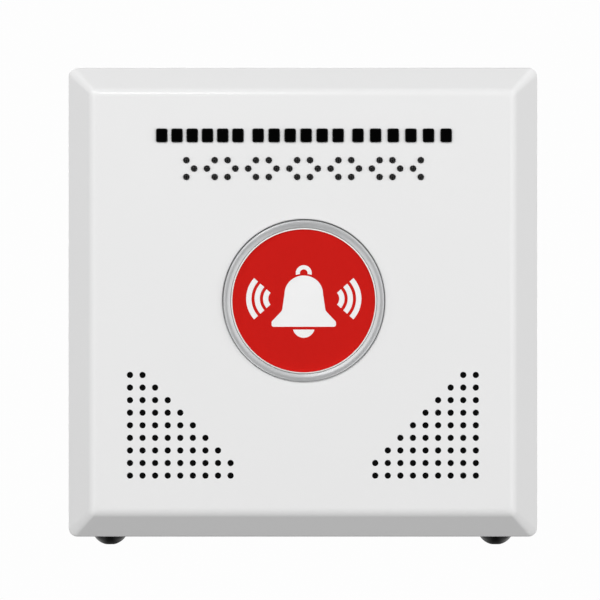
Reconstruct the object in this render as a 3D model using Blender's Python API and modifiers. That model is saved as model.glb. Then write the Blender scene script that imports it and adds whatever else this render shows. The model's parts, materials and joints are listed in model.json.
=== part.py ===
"""Wall-mounted help-call push button, as an assembly of separate parts.

Metres, +Z up. The object hangs on a wall in the plane Y = 0 and faces -Y, and the origin is the centre
of the back plate's wall face. Every part hangs on the empty "wall_frame", whose own X runs right, Y runs
up and Z runs out of the wall. So every place and profile below reads (right, up, out), and a height
counts from the wall.
"""

import math

import bmesh
import bpy
from mathutils import Matrix, Vector

# ---------------------------------------------------------------- driving dimensions, in metres

GAP = 0.0003  # between parts that touch on the real object

# Case
CASE_SIDE = 0.138
CASE_DEPTH = 0.040
CASE_WALL = 0.0025
CASE_CHAMFER = 0.00725
CASE_CORNER = 0.0026
RIM_HEIGHT = 0.0005
CASE_HALF = CASE_SIDE / 2
INNER_HALF = CASE_HALF - CASE_WALL
INNER_FACE = CASE_DEPTH - CASE_WALL
INNER_CORNER = 0.001

# Back plate and what fastens the case to it
PLATE_HALF = 0.0632
PLATE_THICKNESS = 0.003
PLATE_CORNER = 0.002
WALL_HOLE_SPACING = 0.090
WALL_HOLE_RADIUS = 0.00225
WALL_SEAT_RADIUS = 0.0045
WALL_SEAT_DEPTH = 0.0012
CASE_SCREW_X = 0.0574
CASE_SCREW_HEIGHT = 0.018
CASE_SCREW_HOLE = 0.0028
HOOK_X = 0.035
CABLE_ENTRY_UP = -0.044
CABLE_ENTRY_RADIUS = 0.0083
CABLE_HOLE_RADIUS = 0.0045

# Sound holes: two mirrored triangles, aligned on their outer columns
SOUND_PITCH = 0.00368
SOUND_HOLE_RADIUS = 0.00092
SOUND_OUTER_X = 0.0506
SOUND_TOP_UP = -0.0213
SOUND_ROWS = (2, 3, 4, 5, 6, 7, 8, 9, 9)

# Raised beads, in cells of two columns and three rows, and raised blocks in three groups
BEAD_CELLS = 12
BEAD_CELL_PITCH = 0.00603
BEAD_COLUMN_PITCH = 0.00226
BEAD_ROW_PITCH = 0.00246
BEAD_RADIUS = 0.00089
BEAD_PROUD = 0.00075
BEAD_CENTRE = (0.0002, 0.0391)
BLOCK_WIDTH = 0.0032
BLOCK_HEIGHT = 0.0039
BLOCK_PROUD = 0.0006
BLOCKS_PER_GROUP = 6
BLOCK_UP = 0.0488
BLOCK_GROUPS = ((-0.0429, -0.0174), (-0.0147, 0.0119), (0.0145, 0.0435))
BLOCK_SLOT_GAP = 0.0002
INSERT_THICKNESS = 0.001

# Push button
BUTTON_CENTRE = (0.00025, 0.0004)
BUTTON_TRAVEL = 0.0025
LENS_RADIUS = 0.0213
LENS_FACE = 0.0411
LENS_THICKNESS = 0.001
FILM_RADIUS = 0.0209
FILM_THICKNESS = 0.0004
DIFFUSER_THICKNESS = 0.0022
PLUNGER_BORE = 0.0150
PLUNGER_SKIRT = 0.0193
PLUNGER_FLANGE = 0.02325
BEZEL_RADIUS = 0.0236
BEZEL_BORE = 0.0216
BEZEL_TOP = 0.0410
BEZEL_FLANGE = 0.0295
BEZEL_FLANGE_THICKNESS = 0.002
SEAL_RADIUS = 0.0268
SEAL_SECTION = 0.00055
HOUSING_BORE = 0.02375
HOUSING_WALL = 0.002
HOUSING_FLANGE = 0.037
HOUSING_FLOOR = 0.020
HOUSING_BOSS_RADIUS = 0.006
HOUSING_BOSS_HEIGHT = 0.0017
HOUSING_SCREW_CIRCLE = 0.0335
SPRING_RADIUS = 0.022
SPRING_WIRE = 0.0009
SPRING_TURNS = 4

# Microswitch
SWITCH_SIZE = (0.020, 0.006, 0.0066)
SWITCH_UP = BUTTON_CENTRE[1] + 0.014
LEVER_ARM = 0.018
LEVER_SIZE = (0.0198, 0.003, 0.0005)
LEVER_BASE = 0.0322
LEVER_PIVOT_X = -0.009
SWITCH_PLUNGER_SIZE = (0.0024, 0.0024, 0.005)
SWITCH_PLUNGER_ARM = 0.0072
TERMINAL_SIZE = (0.0028, 0.0006, 0.0055)
TERMINAL_PITCH = 0.007

# Lamp
LED_BOARD_RADIUS = 0.0105
LED_CIRCLE = 0.006
LED_SIZE = (0.0028, 0.0028, 0.0014)
BOARD_THICKNESS = 0.0016

# Loudspeaker and microphone
SPEAKER_CENTRE = (-0.0405, -0.0405)
SPEAKER_RADIUS = 0.018
SPEAKER_COLLAR = 0.0185
CLAMP_CIRCLE = 0.0225
MICROPHONE_CENTRE = (0.04324, -0.0397)

# Main board
BOARD_SIZE = (0.078, 0.064)
BOARD_CENTRE = (0.0, 0.008)
BOARD_HEIGHT = 0.0093
BOARD_SCREWS = ((-0.0355, -0.0205), (0.0355, -0.0205), (-0.0355, 0.0365), (0.0355, 0.0365))
BOARD_TOP = BOARD_HEIGHT + BOARD_THICKNESS

# Picture cut out of the legend film: a bell with three sound arcs on each side
BELL_DOME = (0.00575, 0.0053)
BELL_DOME_UP = 0.0020
BELL_MOUTH_HALF = 0.00945
BELL_BOTTOM = -0.00775
BELL_LIP = 0.0008
LOOP_UP = 0.00805
LOOP_RADII = (0.00115, 0.0025)
CLAPPER_TOP = -0.00855
CLAPPER_HALF = 0.00313
CLAPPER_DROP = 0.0026
ARC_CENTRE = (0.0078, 0.0005)
ARC_RADII = (0.00413, 0.0066, 0.00906)
ARC_WIDTH = 0.00156
ARC_HALF_ANGLE = math.radians(42)

# Fineness: sides of a full circle, and points along a curve
BUTTON_STEPS = 36
ROUND_STEPS = 20
SMALL_STEPS = 12
SCREW_STEPS = 8
HOLE_SIDES = 6
TUBE_SIDES_LEVEL = 2
SPRING_STEPS = 10

FULL_TURN = 2 * math.pi
BUTTON_AT = (*BUTTON_CENTRE, 0.0)
HEAD_DOWN = (math.pi / 2, 0, 0)  # a screw whose head points down
HEAD_TO_WALL = (math.pi, 0, 0)  # a screw whose head points at the wall


# ---------------------------------------------------------------- scene, materials and placing


def clear_scene():
    for obj in list(bpy.data.objects):
        bpy.data.objects.remove(obj, do_unlink=True)
    for group in list(bpy.data.collections):
        bpy.data.collections.remove(group)


def new_collection(name):
    group = bpy.data.collections.new(name)
    bpy.context.scene.collection.children.link(group)
    return group


def new_finish(name, colour, roughness, metallic=0.0, transmission=0.0):
    finish = bpy.data.materials.new(name)
    finish.use_nodes = True
    shader = finish.node_tree.nodes["Principled BSDF"]
    shader.inputs["Base Color"].default_value = (*colour, 1.0)
    shader.inputs["Roughness"].default_value = roughness
    shader.inputs["Metallic"].default_value = metallic
    shader.inputs["Transmission Weight"].default_value = transmission
    finish.diffuse_color = (*colour, 1.0)
    return finish


def new_axis(name, at=(0, 0, 0), parent=None):
    """An empty on the axis that a moving piece travels along or turns about."""
    axis = bpy.data.objects.new(name, None)
    axis.empty_display_size = 0.01
    axis.location = at
    axis.parent = parent
    PARTS.objects.link(axis)
    return axis


def hang(obj, group, at, turn, parent):
    """Puts an object in its collection, under the wall frame or under another empty."""
    parent = parent or WALL_FRAME
    obj.location = at
    obj.rotation_euler = turn
    obj.parent = parent
    if parent is not WALL_FRAME:
        obj.location = Vector(at) - parent.location
    group.objects.link(obj)
    return obj


def add_part(name, mesh, finish, at=(0, 0, 0), turn=(0, 0, 0), parent=None):
    mesh.materials.append(finish)
    return hang(bpy.data.objects.new(name, mesh), PARTS, at, turn, parent)


def add_tool(name, mesh, at=(0, 0, 0), turn=(0, 0, 0), parent=None):
    """A helper solid, which a Boolean cuts with or joins on."""
    tool = hang(bpy.data.objects.new(name, mesh), TOOLS, at, turn, parent)
    tool.hide_render = True
    tool.display_type = "WIRE"
    return tool


def combine(part, tool, operation):
    step = part.modifiers.new(tool.name, "BOOLEAN")
    step.operation = operation
    step.object = tool


def cut(part, tool):
    combine(part, tool, "DIFFERENCE")


def join(part, tool):
    combine(part, tool, "UNION")


# ---------------------------------------------------------------- meshes


def finished_mesh(name, shape):
    mesh = bpy.data.meshes.new(name)
    shape.to_mesh(mesh)
    shape.free()
    mesh.shade_smooth()
    mesh.set_sharp_from_angle(angle=math.radians(35))
    return mesh


def boxes_mesh(name, boxes):
    """Boxes as ((low right, low up, low out), (high right, high up, high out)) in one mesh."""
    shape = bmesh.new()
    for low, high in boxes:
        low, high = Vector(low), Vector(high)
        size = Matrix.Diagonal((*(high - low), 1))
        bmesh.ops.create_cube(shape, size=1, matrix=Matrix.Translation((low + high) / 2) @ size)
    return finished_mesh(name, shape)


def slab_mesh(name, half_x, half_y, low, high, corner):
    """A plate with its four edges that run out of the wall rounded."""
    shape = bmesh.new()
    size = Matrix.Diagonal((2 * half_x, 2 * half_y, high - low, 1))
    centre = Matrix.Translation((0, 0, (low + high) / 2))
    bmesh.ops.create_cube(shape, size=1, matrix=centre @ size)
    upright = [e for e in shape.edges if abs(e.verts[0].co.z - e.verts[1].co.z) > (high - low) / 2]
    bmesh.ops.bevel(
        shape, geom=upright, offset=corner, offset_type="OFFSET", segments=3, profile=0.5, affect="EDGES"
    )
    return finished_mesh(name, shape)


def case_mesh(name, half, low, high, chamfer, corner):
    """A square body whose front edges are chamfered, with its corners rounded down to the back."""
    shape = bmesh.new()
    size = Matrix.Diagonal((2 * half, 2 * half, high - low, 1))
    centre = Matrix.Translation((0, 0, (low + high) / 2))
    bmesh.ops.create_cube(shape, size=1, matrix=centre @ size)
    front = [e for e in shape.edges if all(v.co.z > high - corner for v in e.verts)]
    bmesh.ops.bevel(
        shape, geom=front, offset=chamfer, offset_type="OFFSET", segments=1, profile=0.5, affect="EDGES"
    )
    corners = [e for e in shape.edges if all(abs(abs(v.co.x) - abs(v.co.y)) < corner / 10 for v in e.verts)]
    corners = [e for e in corners if abs(e.verts[0].co.z - e.verts[1].co.z) > chamfer / 2]
    bmesh.ops.bevel(
        shape, geom=corners, offset=corner, offset_type="OFFSET", segments=3, profile=0.5, affect="EDGES"
    )
    return finished_mesh(name, shape)


def posts_mesh(name, centres, radius, low, high, sides=SMALL_STEPS, tip=None):
    """Upright round posts in one mesh. A tip of (radius, height) narrows each to a low cone on top."""
    shape = bmesh.new()
    turn = Matrix.Rotation(math.pi / sides, 4, "Z")
    for x, y in centres:
        place = Matrix.Translation((x, y, (low + high) / 2)) @ turn
        size = {"radius1": radius, "radius2": radius, "depth": high - low}
        bmesh.ops.create_cone(shape, cap_ends=True, segments=sides, matrix=place, **size)
    if tip:
        tops = [f for f in shape.faces if all(v.co.z > (low + high) / 2 for v in f.verts)]
        for face in bmesh.ops.extrude_discrete_faces(shape, faces=tops)["faces"]:
            centre = face.calc_center_median()
            for v in face.verts:
                v.co = centre + (v.co - centre) * tip[0] / radius + Vector((0, 0, tip[1]))
    return finished_mesh(name, shape)


def turned_mesh(name, profile, ring):
    """A profile of (radius, out) points: a closed ring, or a line that starts and ends on the axis."""
    mesh = bpy.data.meshes.new(name)
    count = len(profile)
    edges = [(i, i + 1) for i in range(count - 1)]
    if ring:
        edges.append((count - 1, 0))
    mesh.from_pydata([(r, 0, out) for r, out in profile], edges, [])
    return mesh


def spin(obj, steps):
    screw = obj.modifiers.new("turned", "SCREW")
    screw.steps = steps
    screw.render_steps = steps
    screw.use_merge_vertices = True
    screw.merge_threshold = 0.00001
    return obj


def add_turned(
    name, profile, finish, ring=False, steps=ROUND_STEPS, at=(0, 0, 0), turn=(0, 0, 0), parent=None
):
    part = add_part(name, turned_mesh(name, profile, ring), finish, at, turn, parent)
    return spin(part, steps)


def add_turned_tool(name, profile, ring=False, steps=ROUND_STEPS, at=(0, 0, 0), turn=(0, 0, 0)):
    return spin(add_tool(name, turned_mesh(name, profile, ring), at, turn), steps)


def add_box(name, size, centre, finish, edge=0.0, parent=None):
    """A box with its edges bevelled, placed by its centre."""
    half = Vector(size) / 2
    part = add_part(name, boxes_mesh(name, [(-half, half)]), finish, centre, parent=parent)
    if edge:
        bevel = part.modifiers.new("edges", "BEVEL")
        bevel.width = edge
        bevel.segments = 1
    return part


def ring_profile(inner, outer, low, high):
    return [(outer, high), (outer, low), (inner, low), (inner, high)]


def on_circle(centre, radius, angle):
    return (centre[0] + radius * math.cos(angle), centre[1] + radius * math.sin(angle))


def diagonals(radius):
    """Four places on a circle round the button's axis, on its diagonals."""
    return [on_circle(BUTTON_CENTRE, radius, math.radians(45 + 90 * i)) for i in range(4)]


# ---------------------------------------------------------------- curves


def smooth_route(points, steps):
    """Points along one smooth curve through the given ones (Catmull-Rom)."""
    points = [Vector(p) for p in points]
    ends = [2 * points[0] - points[1], *points, 2 * points[-1] - points[-2]]
    route = []
    for a, b, c, d in zip(ends, ends[1:], ends[2:], ends[3:]):
        for i in range(steps):
            t = i / steps
            square, cube = 2 * a - 5 * b + 4 * c - d, 3 * b - a - 3 * c + d
            route.append((2 * b + (c - a) * t + square * t**2 + cube * t**3) / 2)
    return [*route, points[-1]]


def add_tube(name, points, radius, finish):
    curve = bpy.data.curves.new(name, "CURVE")
    curve.dimensions = "3D"
    curve.bevel_depth = radius
    curve.bevel_resolution = TUBE_SIDES_LEVEL
    curve.use_fill_caps = True
    line = curve.splines.new("POLY")
    line.points.add(len(points) - 1)
    for point, co in zip(line.points, points):
        point.co = (*co, 1)
    curve.materials.append(finish)
    return hang(bpy.data.objects.new(name, curve), PARTS, (0, 0, 0), (0, 0, 0), None)


def outlines_tool(name, outlines, low, high):
    """One helper solid from flat closed outlines of (right, up) points round the button's axis."""
    curve = bpy.data.curves.new(name, "CURVE")
    curve.dimensions = "2D"
    curve.fill_mode = "BOTH"
    curve.extrude = (high - low) / 2
    for outline in outlines:
        line = curve.splines.new("POLY")
        line.points.add(len(outline) - 1)
        for point, (x, y) in zip(line.points, outline):
            point.co = (x, y, 0, 1)
        line.use_cyclic_u = True
    drawn = bpy.data.objects.new(name + "_outline", curve)
    TOOLS.objects.link(drawn)
    bpy.context.view_layer.update()
    graph = bpy.context.evaluated_depsgraph_get()
    mesh = bpy.data.meshes.new_from_object(drawn.evaluated_get(graph))
    bpy.data.objects.remove(drawn)
    bpy.data.curves.remove(curve)
    shape = bmesh.new()
    shape.from_mesh(mesh)
    bpy.data.meshes.remove(mesh)
    bmesh.ops.remove_doubles(shape, verts=shape.verts, dist=0.00001)
    bmesh.ops.recalc_face_normals(shape, faces=shape.faces)
    return add_tool(name, finished_mesh(name, shape), at=(*BUTTON_CENTRE, (low + high) / 2))


def arc_points(centre, radius, start, end, steps):
    return [on_circle(centre, radius, start + (end - start) * i / steps) for i in range(steps + 1)]


def band_outline(centre, inner, outer, start, end, steps):
    """A stretch of a flat ring, with radial ends."""
    return arc_points(centre, outer, start, end, steps) + arc_points(centre, inner, end, start, steps)


# ---------------------------------------------------------------- fasteners


def screw_profile(head_radius, head_height, shank_radius, shank_length, recess_radius, recess_depth):
    """Dome head above zero, shank below it, and a round drive recess in the head."""
    return [
        (0, head_height - recess_depth),
        (recess_radius, head_height - recess_depth),
        (recess_radius, head_height),
        (head_radius * 0.4, head_height),
        (head_radius * 0.78, head_height * 0.52),
        (head_radius, 0),
        (shank_radius, 0),
        (shank_radius, -shank_length),
        (0, -shank_length),
    ]


def add_small_screw(name, at, turn, shank_length, head_radius=0.0026, shank_radius=0.00125):
    profile = screw_profile(head_radius, 0.0018, shank_radius, shank_length, 0.0009, 0.0009)
    return add_turned(name, profile, STEEL, steps=SCREW_STEPS, at=at, turn=turn)


# ---------------------------------------------------------------- case


def make_back_plate():
    mesh = slab_mesh("back_plate", PLATE_HALF, PLATE_HALF, 0, PLATE_THICKNESS, PLATE_CORNER)
    plate = add_part("back_plate", mesh, GREY_PLASTIC)
    inside = PLATE_THICKNESS - 0.001
    bosses = []
    for side in (-1, 1):
        x = side * CASE_SCREW_X
        bosses.append(((x - 0.0055, -0.0662, PLATE_THICKNESS), (x + 0.0055, -0.054, 0.024)))
    join(plate, add_tool("screw_blocks", boxes_mesh("screw_blocks", bosses)))
    roots = []
    for side in (-1, 1):
        x = side * CASE_SCREW_X
        roots.append(((x - 0.005, -0.0625, inside), (x + 0.005, -0.0545, PLATE_THICKNESS + 0.001)))
    join(plate, add_tool("block_roots", boxes_mesh("block_roots", roots)))
    lugs, lips = [], []
    for side in (-1, 1):
        x = side * HOOK_X
        lugs.append(((x - 0.006, 0.055, inside), (x + 0.006, 0.0629, 0.011)))
        lips.append(((x - 0.0055, 0.0610, 0.0085), (x + 0.0055, 0.0661, 0.0107)))
    join(plate, add_tool("hook_lugs", boxes_mesh("hook_lugs", lugs)))
    join(plate, add_tool("hook_lips", boxes_mesh("hook_lips", lips)))
    standoffs = posts_mesh("standoffs", BOARD_SCREWS, 0.0035, inside, BOARD_HEIGHT - GAP, SMALL_STEPS)
    join(plate, add_tool("standoffs", standoffs))
    low, high = PLATE_THICKNESS + 0.0005, BOARD_HEIGHT + 0.001
    pilots = posts_mesh("standoff_pilots", BOARD_SCREWS, 0.0016, low, high, SCREW_STEPS)
    cut(plate, add_tool("standoff_pilots", pilots))
    reach = WALL_HOLE_SPACING / 2
    corners = [(x, y) for x in (-reach, reach) for y in (-reach, reach)]
    holes = posts_mesh("wall_holes", corners, WALL_HOLE_RADIUS, -0.001, 0.004)
    seats = posts_mesh("wall_seats", corners, WALL_SEAT_RADIUS, PLATE_THICKNESS - WALL_SEAT_DEPTH, 0.004)
    cut(plate, add_tool("wall_holes", holes))
    cut(plate, add_tool("wall_seats", seats))
    entry = posts_mesh("cable_entry", [(0, CABLE_ENTRY_UP)], CABLE_ENTRY_RADIUS, -0.001, 0.004, ROUND_STEPS)
    cut(plate, add_tool("cable_entry", entry))
    for side in (-1, 1):
        name = "insert_hole_right" if side > 0 else "insert_hole_left"
        hole = [(0, 0.001), (0.004, 0.001), (0.004, -0.0099), (0, -0.0099)]
        place = (side * CASE_SCREW_X, -0.0662, CASE_SCREW_HEIGHT)
        cut(plate, add_turned_tool(name, hole, steps=SMALL_STEPS, at=place, turn=HEAD_DOWN))


def make_front_cover():
    outer = case_mesh("front_cover", CASE_HALF, RIM_HEIGHT, CASE_DEPTH, CASE_CHAMFER, CASE_CORNER)
    cover = add_part("front_cover", outer, WHITE_PLASTIC)
    inner_chamfer = CASE_CHAMFER - CASE_WALL * (2 - math.sqrt(2))
    cavity = case_mesh("cavity", INNER_HALF, -0.001, INNER_FACE, inner_chamfer, INNER_CORNER)
    cut(cover, add_tool("cavity", cavity))
    add_cover_bosses(cover)
    add_cover_holes(cover)


def add_cover_bosses(cover):
    """What stands on the cover's inner side: button bosses, speaker and microphone collars, hook ledges."""
    root = INNER_FACE + 0.0005
    seat = INNER_FACE - GAP - BEZEL_FLANGE_THICKNESS
    bosses = posts_mesh("housing_bosses", diagonals(HOUSING_SCREW_CIRCLE), 0.0035, seat, root, SMALL_STEPS)
    join(cover, add_tool("housing_bosses", bosses))
    collar = ring_profile(SPEAKER_COLLAR, SPEAKER_COLLAR + 0.0015, 0.0354, root)
    join(cover, add_turned_tool("speaker_collar", collar, ring=True, at=(*SPEAKER_CENTRE, 0)))
    clamps = posts_mesh("clamp_bosses", clamp_places(), 0.0028, 0.0350, root, SMALL_STEPS)
    join(cover, add_tool("clamp_bosses", clamps))
    collar = ring_profile(0.0073, 0.0085, 0.033, root)
    join(cover, add_turned_tool("microphone_collar", collar, ring=True, at=(*MICROPHONE_CENTRE, 0)))
    ledges = []
    for side in (-1, 1):
        x = side * HOOK_X
        ledges.append(((x - 0.008, 0.0633, 0.0045), (x + 0.008, INNER_HALF + 0.0005, 0.0082)))
    join(cover, add_tool("hook_ledges", boxes_mesh("hook_ledges", ledges)))
    places = diagonals(HOUSING_SCREW_CIRCLE)
    pilots = posts_mesh("housing_pilots", places, 0.0016, seat - 0.001, INNER_FACE, SCREW_STEPS)
    cut(cover, add_tool("housing_pilots", pilots))
    pilots = posts_mesh("clamp_pilots", clamp_places(), 0.0015, 0.034, INNER_FACE, SCREW_STEPS)
    cut(cover, add_tool("clamp_pilots", pilots))


def add_cover_holes(cover):
    """What goes through the cover's walls."""
    below, above = INNER_FACE - 0.0004, CASE_DEPTH + 0.001
    button = posts_mesh("button_hole", [BUTTON_CENTRE], BEZEL_RADIUS + GAP, below, above, BUTTON_STEPS)
    cut(cover, add_tool("button_hole", button))
    sound = posts_mesh("sound_holes", sound_places(), SOUND_HOLE_RADIUS, below, above, HOLE_SIDES)
    cut(cover, add_tool("sound_holes", sound))
    beads = posts_mesh("bead_holes", bead_places(), BEAD_RADIUS + GAP, below, above, HOLE_SIDES)
    cut(cover, add_tool("bead_holes", beads))
    slots = boxes_mesh("block_slots", heading_blocks(below, above, BLOCK_SLOT_GAP))
    cut(cover, add_tool("block_slots", slots))
    for side in (-1, 1):
        name = "screw_hole_right" if side > 0 else "screw_hole_left"
        hole = [(0, 0.001), (CASE_SCREW_HOLE, 0.001), (CASE_SCREW_HOLE, -0.0035), (0, -0.0035)]
        place = (side * CASE_SCREW_X, -CASE_HALF, CASE_SCREW_HEIGHT)
        cut(cover, add_turned_tool(name, hole, steps=SMALL_STEPS, at=place, turn=HEAD_DOWN))


def sound_places():
    places = []
    for row, count in enumerate(SOUND_ROWS):
        for column in range(count):
            x = SOUND_OUTER_X - SOUND_PITCH * column
            y = SOUND_TOP_UP - SOUND_PITCH * row
            places += [(x, y), (-x, y)]
    return places


def bead_places():
    """Cells of three beads, pointing right and left in turn."""
    places = []
    for cell in range(BEAD_CELLS):
        x = BEAD_CENTRE[0] + BEAD_CELL_PITCH * (cell - (BEAD_CELLS - 1) / 2)
        for row in (-1, 0, 1):
            side = (-1) ** (row + cell)
            places.append((x + side * BEAD_COLUMN_PITCH / 2, BEAD_CENTRE[1] + row * BEAD_ROW_PITCH))
    return places


def heading_blocks(low, high, grow=0.0):
    """Plain raised blocks in three groups, each block grown by the same margin all round."""
    boxes = []
    for left, right in BLOCK_GROUPS:
        pitch = (right - left - BLOCK_WIDTH) / (BLOCKS_PER_GROUP - 1)
        for i in range(BLOCKS_PER_GROUP):
            x = left + pitch * i
            bottom, top = BLOCK_UP - BLOCK_HEIGHT / 2, BLOCK_UP + BLOCK_HEIGHT / 2
            boxes.append(((x - grow, bottom - grow, low), (x + BLOCK_WIDTH + grow, top + grow, high)))
    return boxes


def make_inserts():
    """Black strips behind the front wall, whose beads and blocks stand out through it."""
    high = INNER_FACE - GAP
    low = high - INSERT_THICKNESS
    length = BEAD_CELL_PITCH * BEAD_CELLS
    strip = slab_mesh("bead_insert", length / 2, 0.0042, low, high, 0.001)
    insert = add_part("bead_insert", strip, BLACK_PLASTIC, at=(*BEAD_CENTRE, 0))
    tip = (0.0004, BEAD_PROUD)
    root = low + INSERT_THICKNESS / 2
    beads = posts_mesh("beads", bead_places(), BEAD_RADIUS, root, CASE_DEPTH, HOLE_SIDES, tip)
    join(insert, add_tool("beads", beads))
    left, right = BLOCK_GROUPS[0][0], BLOCK_GROUPS[-1][1]
    strip = slab_mesh("heading_insert", (right - left) / 2 + 0.0015, 0.003, low, high, 0.001)
    insert = add_part("heading_insert", strip, BLACK_PLASTIC, at=((left + right) / 2, BLOCK_UP, 0))
    blocks = boxes_mesh("blocks", heading_blocks(root, CASE_DEPTH + BLOCK_PROUD))
    join(insert, add_tool("blocks", blocks))


def make_case_fastening():
    for side, word in ((-1, "left"), (1, "right")):
        x = side * CASE_SCREW_X
        name = "case_screw_" + word
        profile = screw_profile(0.00475, 0.00275, 0.0024, 0.0115, 0.0017, 0.0015)
        at = (x, -CASE_HALF - GAP, CASE_SCREW_HEIGHT)
        add_turned(name, profile, BLACK_STEEL, at=at, turn=HEAD_DOWN)
        insert = ring_profile(0.0027, 0.0037, -0.009, 0)
        at = (x, -0.0662 + GAP, CASE_SCREW_HEIGHT)
        add_turned("case_insert_" + word, insert, BRASS, ring=True, steps=SMALL_STEPS, at=at, turn=HEAD_DOWN)


def make_seals():
    outer = slab_mesh("wall_gasket", INNER_HALF - GAP, INNER_HALF - GAP, GAP, PLATE_THICKNESS - GAP, 0.0015)
    gasket = add_part("wall_gasket", outer, RUBBER)
    hole = slab_mesh("gasket_hole", PLATE_HALF + GAP, PLATE_HALF + GAP, -0.001, 0.004, PLATE_CORNER)
    cut(gasket, add_tool("gasket_hole", hole))
    top, neck = PLATE_THICKNESS + 0.0018, CABLE_ENTRY_RADIUS - GAP
    grommet = [
        (0.0105, top),
        (0.0105, PLATE_THICKNESS + GAP),
        (neck, PLATE_THICKNESS + GAP),
        (neck, 0.0004),
        (CABLE_HOLE_RADIUS, 0.0004),
        (CABLE_HOLE_RADIUS, top),
    ]
    add_turned("cable_grommet", grommet, RUBBER, ring=True, at=(0, CABLE_ENTRY_UP, 0))


# ---------------------------------------------------------------- push button


def make_bezel():
    flange_top = INNER_FACE - GAP
    flange_low = flange_top - BEZEL_FLANGE_THICKNESS
    groove = flange_top - 0.0014
    profile = [
        (BEZEL_RADIUS - 0.0011, BEZEL_TOP),
        (BEZEL_RADIUS - 0.0003, BEZEL_TOP - 0.0003),
        (BEZEL_RADIUS, BEZEL_TOP - 0.0009),
        (BEZEL_RADIUS, flange_top),
        (SEAL_RADIUS - 0.0011, flange_top),
        (SEAL_RADIUS - 0.0011, groove),
        (SEAL_RADIUS + 0.0011, groove),
        (SEAL_RADIUS + 0.0011, flange_top),
        (BEZEL_FLANGE, flange_top),
        (BEZEL_FLANGE, flange_low),
        (BEZEL_BORE, flange_low),
        (BEZEL_BORE, BEZEL_TOP - 0.0006),
        (BEZEL_BORE + 0.0007, BEZEL_TOP),
    ]
    add_turned("button_bezel", profile, CLEAR_PLASTIC, ring=True, steps=BUTTON_STEPS, at=BUTTON_AT)
    height = groove + GAP + SEAL_SECTION
    section = [on_circle((SEAL_RADIUS, height), SEAL_SECTION, -FULL_TURN * i / 6) for i in range(6)]
    add_turned("bezel_seal", section, RUBBER, ring=True, at=BUTTON_AT)


def make_housing():
    top = INNER_FACE - GAP - BEZEL_FLANGE_THICKNESS - GAP
    inside = HOUSING_FLOOR + HOUSING_WALL
    profile = [
        (0, inside + HOUSING_BOSS_HEIGHT),
        (HOUSING_BOSS_RADIUS, inside + HOUSING_BOSS_HEIGHT),
        (HOUSING_BOSS_RADIUS, inside),
        (HOUSING_BORE, inside),
        (HOUSING_BORE, top),
        (HOUSING_FLANGE, top),
        (HOUSING_FLANGE, top - HOUSING_WALL),
        (HOUSING_BORE + HOUSING_WALL, top - HOUSING_WALL),
        (HOUSING_BORE + HOUSING_WALL, HOUSING_FLOOR),
        (0, HOUSING_FLOOR),
    ]
    housing = add_turned("button_housing", profile, BLACK_PLASTIC, at=BUTTON_AT)
    low, high = HOUSING_FLOOR - 0.001, inside + 0.001
    slots = [
        ((-0.009, SWITCH_UP - 0.0012, low), (0.009, SWITCH_UP + 0.0012, high)),
        ((-0.0025, -0.0105, low), (0.0025, -0.008, high)),
    ]
    cut(housing, add_tool("floor_slots", boxes_mesh("floor_slots", slots)))
    places = diagonals(HOUSING_SCREW_CIRCLE)
    holes = posts_mesh("flange_holes", places, 0.0018, top - 0.003, top + 0.001, SCREW_STEPS)
    cut(housing, add_tool("flange_holes", holes))
    for i, (x, y) in enumerate(places):
        at = (x, y, top - HOUSING_WALL - GAP)
        add_small_screw(f"housing_screw_{i + 1}", at, HEAD_TO_WALL, 0.0041)


def make_moving_button(axis):
    lens_low = LENS_FACE - LENS_THICKNESS
    lens = [
        (0, LENS_FACE),
        (LENS_RADIUS - 0.0008, LENS_FACE),
        (LENS_RADIUS - 0.0002, LENS_FACE - 0.0002),
        (LENS_RADIUS, LENS_FACE - 0.0007),
        (LENS_RADIUS, lens_low),
        (0, lens_low),
    ]
    add_turned("button_lens", lens, CLEAR_PLASTIC, steps=BUTTON_STEPS, at=BUTTON_AT, parent=axis)
    film_high = lens_low - GAP
    film_low = film_high - FILM_THICKNESS
    disc = [(0, film_high), (FILM_RADIUS, film_high), (FILM_RADIUS, film_low), (0, film_low)]
    film = add_turned("legend_film", disc, RED_FILM, steps=BUTTON_STEPS, at=BUTTON_AT, parent=axis)
    picture = outlines_tool("legend_picture", legend_outlines(), film_low - 0.0005, film_high + 0.0005)
    cut(film, picture)
    diffuser_high = film_low - GAP
    diffuser_low = diffuser_high - DIFFUSER_THICKNESS
    disc = [(0, diffuser_high), (FILM_RADIUS, diffuser_high), (FILM_RADIUS, diffuser_low), (0, diffuser_low)]
    add_turned("light_diffuser", disc, MILK_PLASTIC, steps=BUTTON_STEPS, at=BUTTON_AT, parent=axis)
    make_plunger(diffuser_low - GAP, axis)


def make_plunger(top, axis):
    """The sliding skirt, with a flange that stops it behind the bezel and a finger for the lever."""
    stop = INNER_FACE - GAP - BEZEL_FLANGE_THICKNESS - GAP
    seat = 0.0355
    profile = [
        (LENS_RADIUS, top),
        (LENS_RADIUS, stop),
        (PLUNGER_FLANGE, stop),
        (PLUNGER_FLANGE, stop - 0.0015),
        (PLUNGER_SKIRT, stop - 0.0015),
        (PLUNGER_SKIRT, seat),
        (PLUNGER_BORE, seat),
        (PLUNGER_BORE, top),
    ]
    shape = turned_mesh("button_plunger", profile, ring=True)
    plunger = spin(add_part("button_plunger", shape, WHITE_PLASTIC, BUTTON_AT, parent=axis), BUTTON_STEPS)
    lever_top = LEVER_BASE + LEVER_SIZE[2]
    x, half = LEVER_PIVOT_X + LEVER_ARM, 0.0012
    finger = ((x - half, SWITCH_UP - half, lever_top + GAP), (x + half, SWITCH_UP + half, seat + 0.0005))
    join(plunger, add_tool("finger", boxes_mesh("finger", [finger]), parent=axis))


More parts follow.
